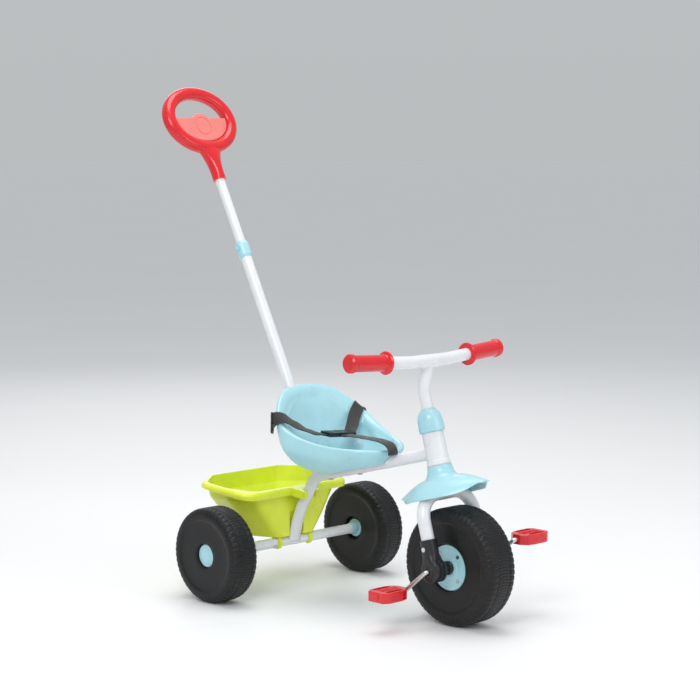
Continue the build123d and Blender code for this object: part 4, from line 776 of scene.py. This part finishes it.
def weld_bead(name, points, size):
    """A closed, rippled bead of weld along a ring of points, painted over."""
    mesh = bmesh.new()
    count = len(points)
    rings = []
    for i, place in enumerate(points):
        run = (points[(i + 1) % count] - points[i - 1]).normalized()
        u = run.orthogonal().normalized()
        w = run.cross(u)
        scale = size * (1 + 0.14 * math.cos(TURN * i / 4) + 0.05 * math.cos(i * 1.7))
        rings.append([
            mesh.verts.new(place + (u * math.cos(q) + w * math.sin(q)) * scale) for q in turns(BEAD_SIDES)
        ])
    for a, b in zip(rings, rings[1:] + rings[:1]):
        shift = min(range(BEAD_SIDES), key=lambda s: (a[0].co - b[s].co).length)
        for k in range(BEAD_SIDES):
            j = (k + 1) % BEAD_SIDES
            mesh.faces.new((a[k], a[j], b[(j + shift) % BEAD_SIDES], b[(k + shift) % BEAD_SIDES]))
    made = piece(name, mesh, FINISHES["white_paint"], "frame")


forward = (BACKBONE_FRONT - BACKBONE_KNEE).normalized()
head_rays = tube_rays(BACKBONE_FRONT - forward * (20 * MM), forward, BACKBONE_RING_R, BACKBONE_RING_R, 96)
head_ring = [reach_cylinder(start, forward, FRONT_HUB, STEER_UP, HEAD_RING_R) for start in head_rays]
weld_bead("weld_backbone_head_tube", head_ring, 1.7 * MM)
foot_rays = tube_rays(BACKBONE_FOOT, FOOT_WAY, FOOT_WIDE, FOOT_DEEP, 88)
foot_ring = [reach_cylinder(start, FOOT_WAY, ahead(0, 90), LEFT, AXLE_RING_R) for start in foot_rays]
weld_bead("weld_backbone_axle_tube", foot_ring, 1.5 * MM)

# ---------------------------------------------------------------------------
# The strap's ladder slider
# ---------------------------------------------------------------------------
SLIDER_PLACE = ahead(71.5, 339, -115.5)
SLIDER_FACE = Vector((-0.74, -0.67, 0)).normalized()
SLIDER_LONG = Vector((0.3, 0.0, -1))
SOFT_SQUARE = 0.6  # the power that rounds a square section
BAR_SIDES = 16


def rounded_bar(mesh, start, stop, normal, wide, thick):
    """A bar with a soft square section and rounded ends."""
    side = normal.cross((stop - start).normalized())
    rings = []
    for t, size in ((0.0, 0.55), (0.04, 0.9), (0.12, 1.0), (0.88, 1.0), (0.96, 0.9), (1.0, 0.55)):
        here = start.lerp(stop, t)
        ring = []
        for q in turns(BAR_SIDES):
            c, s = math.cos(q), math.sin(q)
            soft_c = math.copysign(abs(c) ** SOFT_SQUARE, c)
            soft_s = math.copysign(abs(s) ** SOFT_SQUARE, s)
            ring.append(mesh.verts.new(here + side * (soft_c * wide / 2 * size) + normal * (soft_s * thick / 2 * size)))
        rings.append(ring)
    skin(mesh, rings, capped=True)


def ladder_slider():
    """A moulded three-bar slider: rounded outer bars, a raised ribbed middle bar and two slots."""
    long_way = (SLIDER_LONG - SLIDER_FACE * SLIDER_LONG.dot(SLIDER_FACE)).normalized()
    across = SLIDER_FACE.cross(long_way)
    mesh = bmesh.new()

    def bar(a, b, wide, thick):
        """A bar between two places given in millimetres across and along the slider."""
        start, stop = (SLIDER_PLACE + across * (p[0] * MM) + long_way * (p[1] * MM) for p in (a, b))
        rounded_bar(mesh, start, stop, SLIDER_FACE, wide * MM, thick * MM)

    for along in (-17.6, 17.6):
        bar((-15, along), (15, along), 4.8, 4.2)
    for off in (-13.4, 13.4):
        bar((off, -19.5), (off, 19.5), 3.2, 3.8)
    bar((-13, 0), (13, 0), 6.0, 4.6)
    for along in (-1.8, 0.0, 1.8):
        bar((-11, along), (11, along), 0.9, 5.4)
    made = piece("strap_slider_moulded", mesh, FINISHES["black_plastic"], "frame")
    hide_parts("strap_slider")


ladder_slider()

# ---------------------------------------------------------------------------
# Fork covers: two moulded halves a side, a round neck on the tube and a wide foot round the axle
# ---------------------------------------------------------------------------
COVER_TOP, COVER_DEEP = 56.0, 15.5  # above the axle, and out from the leg's plane
FOOT_R, NECK_R = 21.0, 14.7
NECK_END = 6.0  # the neck runs into the foot at this height
LEG_PLANE = 67.0  # the fork legs' distance from the middle
SEAM, SEAM_EDGE = 0.15, 0.7  # each half stands this far off the plane between the two; its edge is cut so far
LIP = 0.7  # the top edge is drawn in by this much
TUBE_HOLE_R, CRANK_HOLE_R = 12.15, 4.3
COVER_ROWS = 24
# (radius, distance outboard) of the low ring round the crank.
COVER_BOSS = [(4.4, 14.8), (4.4, 16.6), (5.0, 17.0), (8.4, 17.0), (9.4, 16.4), (10.0, 15.4), (10.2, 14.8)]


def drill(target, start, stop, radius):
    """Cut a round hole through a piece's mesh."""
    mesh = bmesh.new()
    run = stop - start
    way = run.to_track_quat("Z", "Y").to_matrix().to_4x4()
    bmesh.ops.create_cone(mesh, cap_ends=True, segments=48, radius1=radius, radius2=radius, depth=run.length,
                          matrix=Matrix.Translation((start + stop) / 2) @ way)
    data = bpy.data.meshes.new("drill")
    mesh.to_mesh(data)
    mesh.free()
    tool = in_scene("drill", data)
    cut = target.modifiers.new("cut", "BOOLEAN")
    cut.operation, cut.object, cut.solver = "DIFFERENCE", tool, "EXACT"
    with_modifiers(target)
    bpy.data.objects.remove(tool)


def cover_half_wide(height):
    """Half the cover's width fore and aft, at a height above the axle."""
    foot = math.sqrt(max(0.16, FOOT_R ** 2 - height ** 2)) if abs(height) < FOOT_R else 0.0
    if height <= NECK_END:
        return foot
    return NECK_R + max(0.0, foot - NECK_R + 1.5) * 0.93


def cover_half(name, node, side, outward):
    """One half of a cover. Side is the sign of Y; outward is 1 for the outboard half and -1 for the other."""
    across = Vector((0, side * outward, 0))
    middle = FRONT_HUB + Vector((0, side * LEG_PLANE * MM, 0))
    rows = []
    mesh = bmesh.new()
    heights = [COVER_TOP, COVER_TOP - 0.6] + [COVER_TOP - 1.5 - k * 1.7 for k in range(43)]
    heights += [-FOOT_R * math.sin(math.radians(d)) for d in (56, 63, 70, 76, 81, 85, 88)]
    for height in heights:
        half = cover_half_wide(height)
        power = 2.1 + 2.9 * ramp(-height, -30, -6)  # round at the neck, squarer at the foot
        lip = LIP if height == COVER_TOP else 0.0
        row = [(half - SEAM_EDGE - lip, SEAM), (half - SEAM - lip, SEAM_EDGE)]
        for k in range(1, COVER_ROWS):
            q = math.pi * k / COVER_ROWS
            c, s = math.cos(q), math.sin(q)
            row.append((math.copysign(abs(c) ** (2 / power), c) * (half - lip), s ** (2 / power) * (COVER_DEEP - lip)))
        row += [(-half + SEAM + lip, SEAM_EDGE), (-half + SEAM_EDGE + lip, SEAM)]
        rows.append([
            mesh.verts.new(middle + STEER_FORE * (x * MM) + across * (max(SEAM, y) * MM) + STEER_UP * (height * MM))
            for x, y in row
        ])
    skin(mesh, rows, capped=True)
    made = piece(name, mesh, FINISHES["black_plastic"], "steering")
    drill(made, middle + STEER_UP * (24 * MM), middle + STEER_UP * (60 * MM), TUBE_HOLE_R * MM)
    drill(made, middle - LEFT * (30 * MM), middle + LEFT * (30 * MM), CRANK_HOLE_R * MM)
    made.data.polygons.foreach_set("use_smooth", [True] * len(made.data.polygons))
    crisp(made, 35)
    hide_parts(node)


for side_name, side in SIDES.items():
    cover_half("cover_outer_moulded_" + side_name, "fork_cover_outer_" + side_name, side, 1)
    cover_half("cover_inner_moulded_" + side_name, "fork_cover_inner_" + side_name, side, -1)
    boss = turned("cover_boss_" + side_name, FRONT_HUB + Vector((0, side * LEG_PLANE * MM, 0)), side, COVER_BOSS,
                  FINISHES["black_plastic"], "steering", closed=True)

# ---------------------------------------------------------------------------
# Pedals: ridges across the tread and a raised oval with two lines on each long side
# ---------------------------------------------------------------------------
PEDAL_DOWN = math.radians(40.0)  # the cranks' angle at rest
PEDAL_THROW = Vector((-math.cos(PEDAL_DOWN), 0, -math.sin(PEDAL_DOWN))) * (62.0 * MM)
PEDAL_LONG, PEDAL_HIGH = 25.0, 9.5  # half the tread fore and aft, half its height
PEDAL_MIDDLE = 139.5  # the oval's distance from the tricycle's middle
RIDGES, RIDGE_START, RIDGE_PITCH, RIDGE_HALF = 6, 115, 7.6, 8.5
OVAL_SIZE, OVAL_R = (14.5 * MM, 5.4 * MM), 0.75 * MM
OVAL_STEPS, OVAL_SIDES = 40, 8


def oval_ring(mesh, centre, long_way, short_way):
    """A closed raised bead round an oval."""
    rings = []
    out = long_way.cross(short_way)
    for q in turns(OVAL_STEPS):
        c, s = math.cos(q), math.sin(q)
        place = centre + long_way * (OVAL_SIZE[0] * c) + short_way * (OVAL_SIZE[1] * s)
        away = (long_way * (OVAL_SIZE[1] * c) + short_way * (OVAL_SIZE[0] * s)).normalized()
        rings.append([
            mesh.verts.new(place + (away * math.cos(p) + out * math.sin(p)) * OVAL_R) for p in turns(OVAL_SIDES)
        ])
    skin(mesh, rings, closed=True)


def pedal_treads(side_name, side):
    """Both faces' ridges, and the oval with its two lines on each long side, as one piece."""
    mesh = bmesh.new()
    pin = FRONT_HUB - PEDAL_THROW * side
    out = LEFT * side
    ridge = FORE * (RIDGE_HALF * MM)
    for face in (1, -1):
        level = pin + UP * (face * (PEDAL_HIGH + 0.2) * MM)
        for k in range(RIDGES):
            here = level + out * ((RIDGE_START + RIDGE_PITCH * k) * MM)
            rounded_bar(mesh, here - ridge, here + ridge, UP, 2.4 * MM, 2.0 * MM)
        flank = pin + FORE * (face * PEDAL_LONG * MM) + out * (PEDAL_MIDDLE * MM)
        oval_ring(mesh, flank, out, UP)
        for height in (-1.6, 1.6):
            here = flank + UP * (height * MM)
            rounded_bar(mesh, here - out * (10.5 * MM), here + out * (10.5 * MM), FORE, 1.2 * MM, 1.3 * MM)
    made = piece("pedal_treads_" + side_name, mesh, FINISHES["red_plastic"], "pedal_" + side_name)


for side_name, side in SIDES.items():
    pedal_treads(side_name, side)

# ---------------------------------------------------------------------------
# Floor, light and camera
# ---------------------------------------------------------------------------
FLOOR_RADIUS = 60.0
LIT_AT = Vector((0.0, 0.0, 0.4))
# Place, size of the square, watts.
SOFTBOXES = {
    "key": ((1.7, -2.7, 2.7), 1.5, 45),
    "fill": ((3.0, 0.6, 1.6), 1.4, 12),
    "top": ((-0.1, 0.1, 3.2), 2.0, 45),
    "back": ((-2.6, 1.8, 1.9), 1.4, 10),
}
HORIZON, OVERHEAD = (0.868, 0.893, 0.912, 1.0), (0.94, 0.97, 1.0, 1.0)
HORIZON_FADES_AT = 0.22  # the sine of the height at which only the overhead colour is left
WORLD_STRENGTH = 0.57
LENS, CAMERA_PLACE, CAMERA_DOWN, CAMERA_TURN = 102.97, (2.707, -2.627, 0.8726), 6.06, 45.42


def studio_floor():
    """A pale disc so wide that its edge lies on the horizon."""
    mesh = bmesh.new()
    bmesh.ops.create_circle(mesh, cap_ends=True, segments=128, radius=FLOOR_RADIUS)
    data = bpy.data.meshes.new("studio_floor")
    mesh.to_mesh(data)
    mesh.free()
    data.materials.append(floor_paint())
    in_scene("studio_floor", data)


def softbox(name, place, size, power):
    """A square lamp that shines on the tricycle's middle."""
    light = bpy.data.lights.new(name, "AREA")
    light.shape, light.size, light.energy = "SQUARE", size, power
    lamp = in_scene(name, light)
    lamp.location = place
    lamp.rotation_euler = (LIT_AT - Vector(place)).to_track_quat("-Z", "Y").to_euler()


def studio_air():
    """Even light from all round, a little darker and greyer at the horizon, where the floor fades into it."""
    world = bpy.data.worlds.new("studio")
    world.use_nodes = True
    sky = world.node_tree
    height = sky.nodes.new("ShaderNodeSeparateXYZ")
    sky.links.new(sky.nodes.new("ShaderNodeTexCoord").outputs["Generated"], height.inputs[0])
    fade = sky.nodes.new("ShaderNodeMapRange")
    fade.interpolation_type = "SMOOTHSTEP"
    fade.inputs["From Max"].default_value = HORIZON_FADES_AT
    tint = sky.nodes.new("ShaderNodeMix")
    tint.data_type = "RGBA"
    tint.inputs[COLOUR_A].default_value = HORIZON
    tint.inputs[COLOUR_B].default_value = OVERHEAD
    sky.links.new(height.outputs["Z"], fade.inputs["Value"])
    sky.links.new(fade.outputs["Result"], tint.inputs["Factor"])
    sky.links.new(tint.outputs[COLOUR_OUT], sky.nodes["Background"].inputs["Color"])
    sky.nodes["Background"].inputs["Strength"].default_value = WORLD_STRENGTH
    bpy.context.scene.world = world


studio_floor()
for name, (place, size, power) in SOFTBOXES.items():
    softbox(name, place, size, power)
studio_air()
bpy.context.scene.view_settings.view_transform = "Standard"

lens = bpy.data.cameras.new("camera")
lens.lens = LENS
camera = in_scene("camera", lens)
camera.location = CAMERA_PLACE
camera.rotation_euler = (math.radians(90 - CAMERA_DOWN), 0.0, math.radians(CAMERA_TURN))
bpy.context.scene.camera = camera
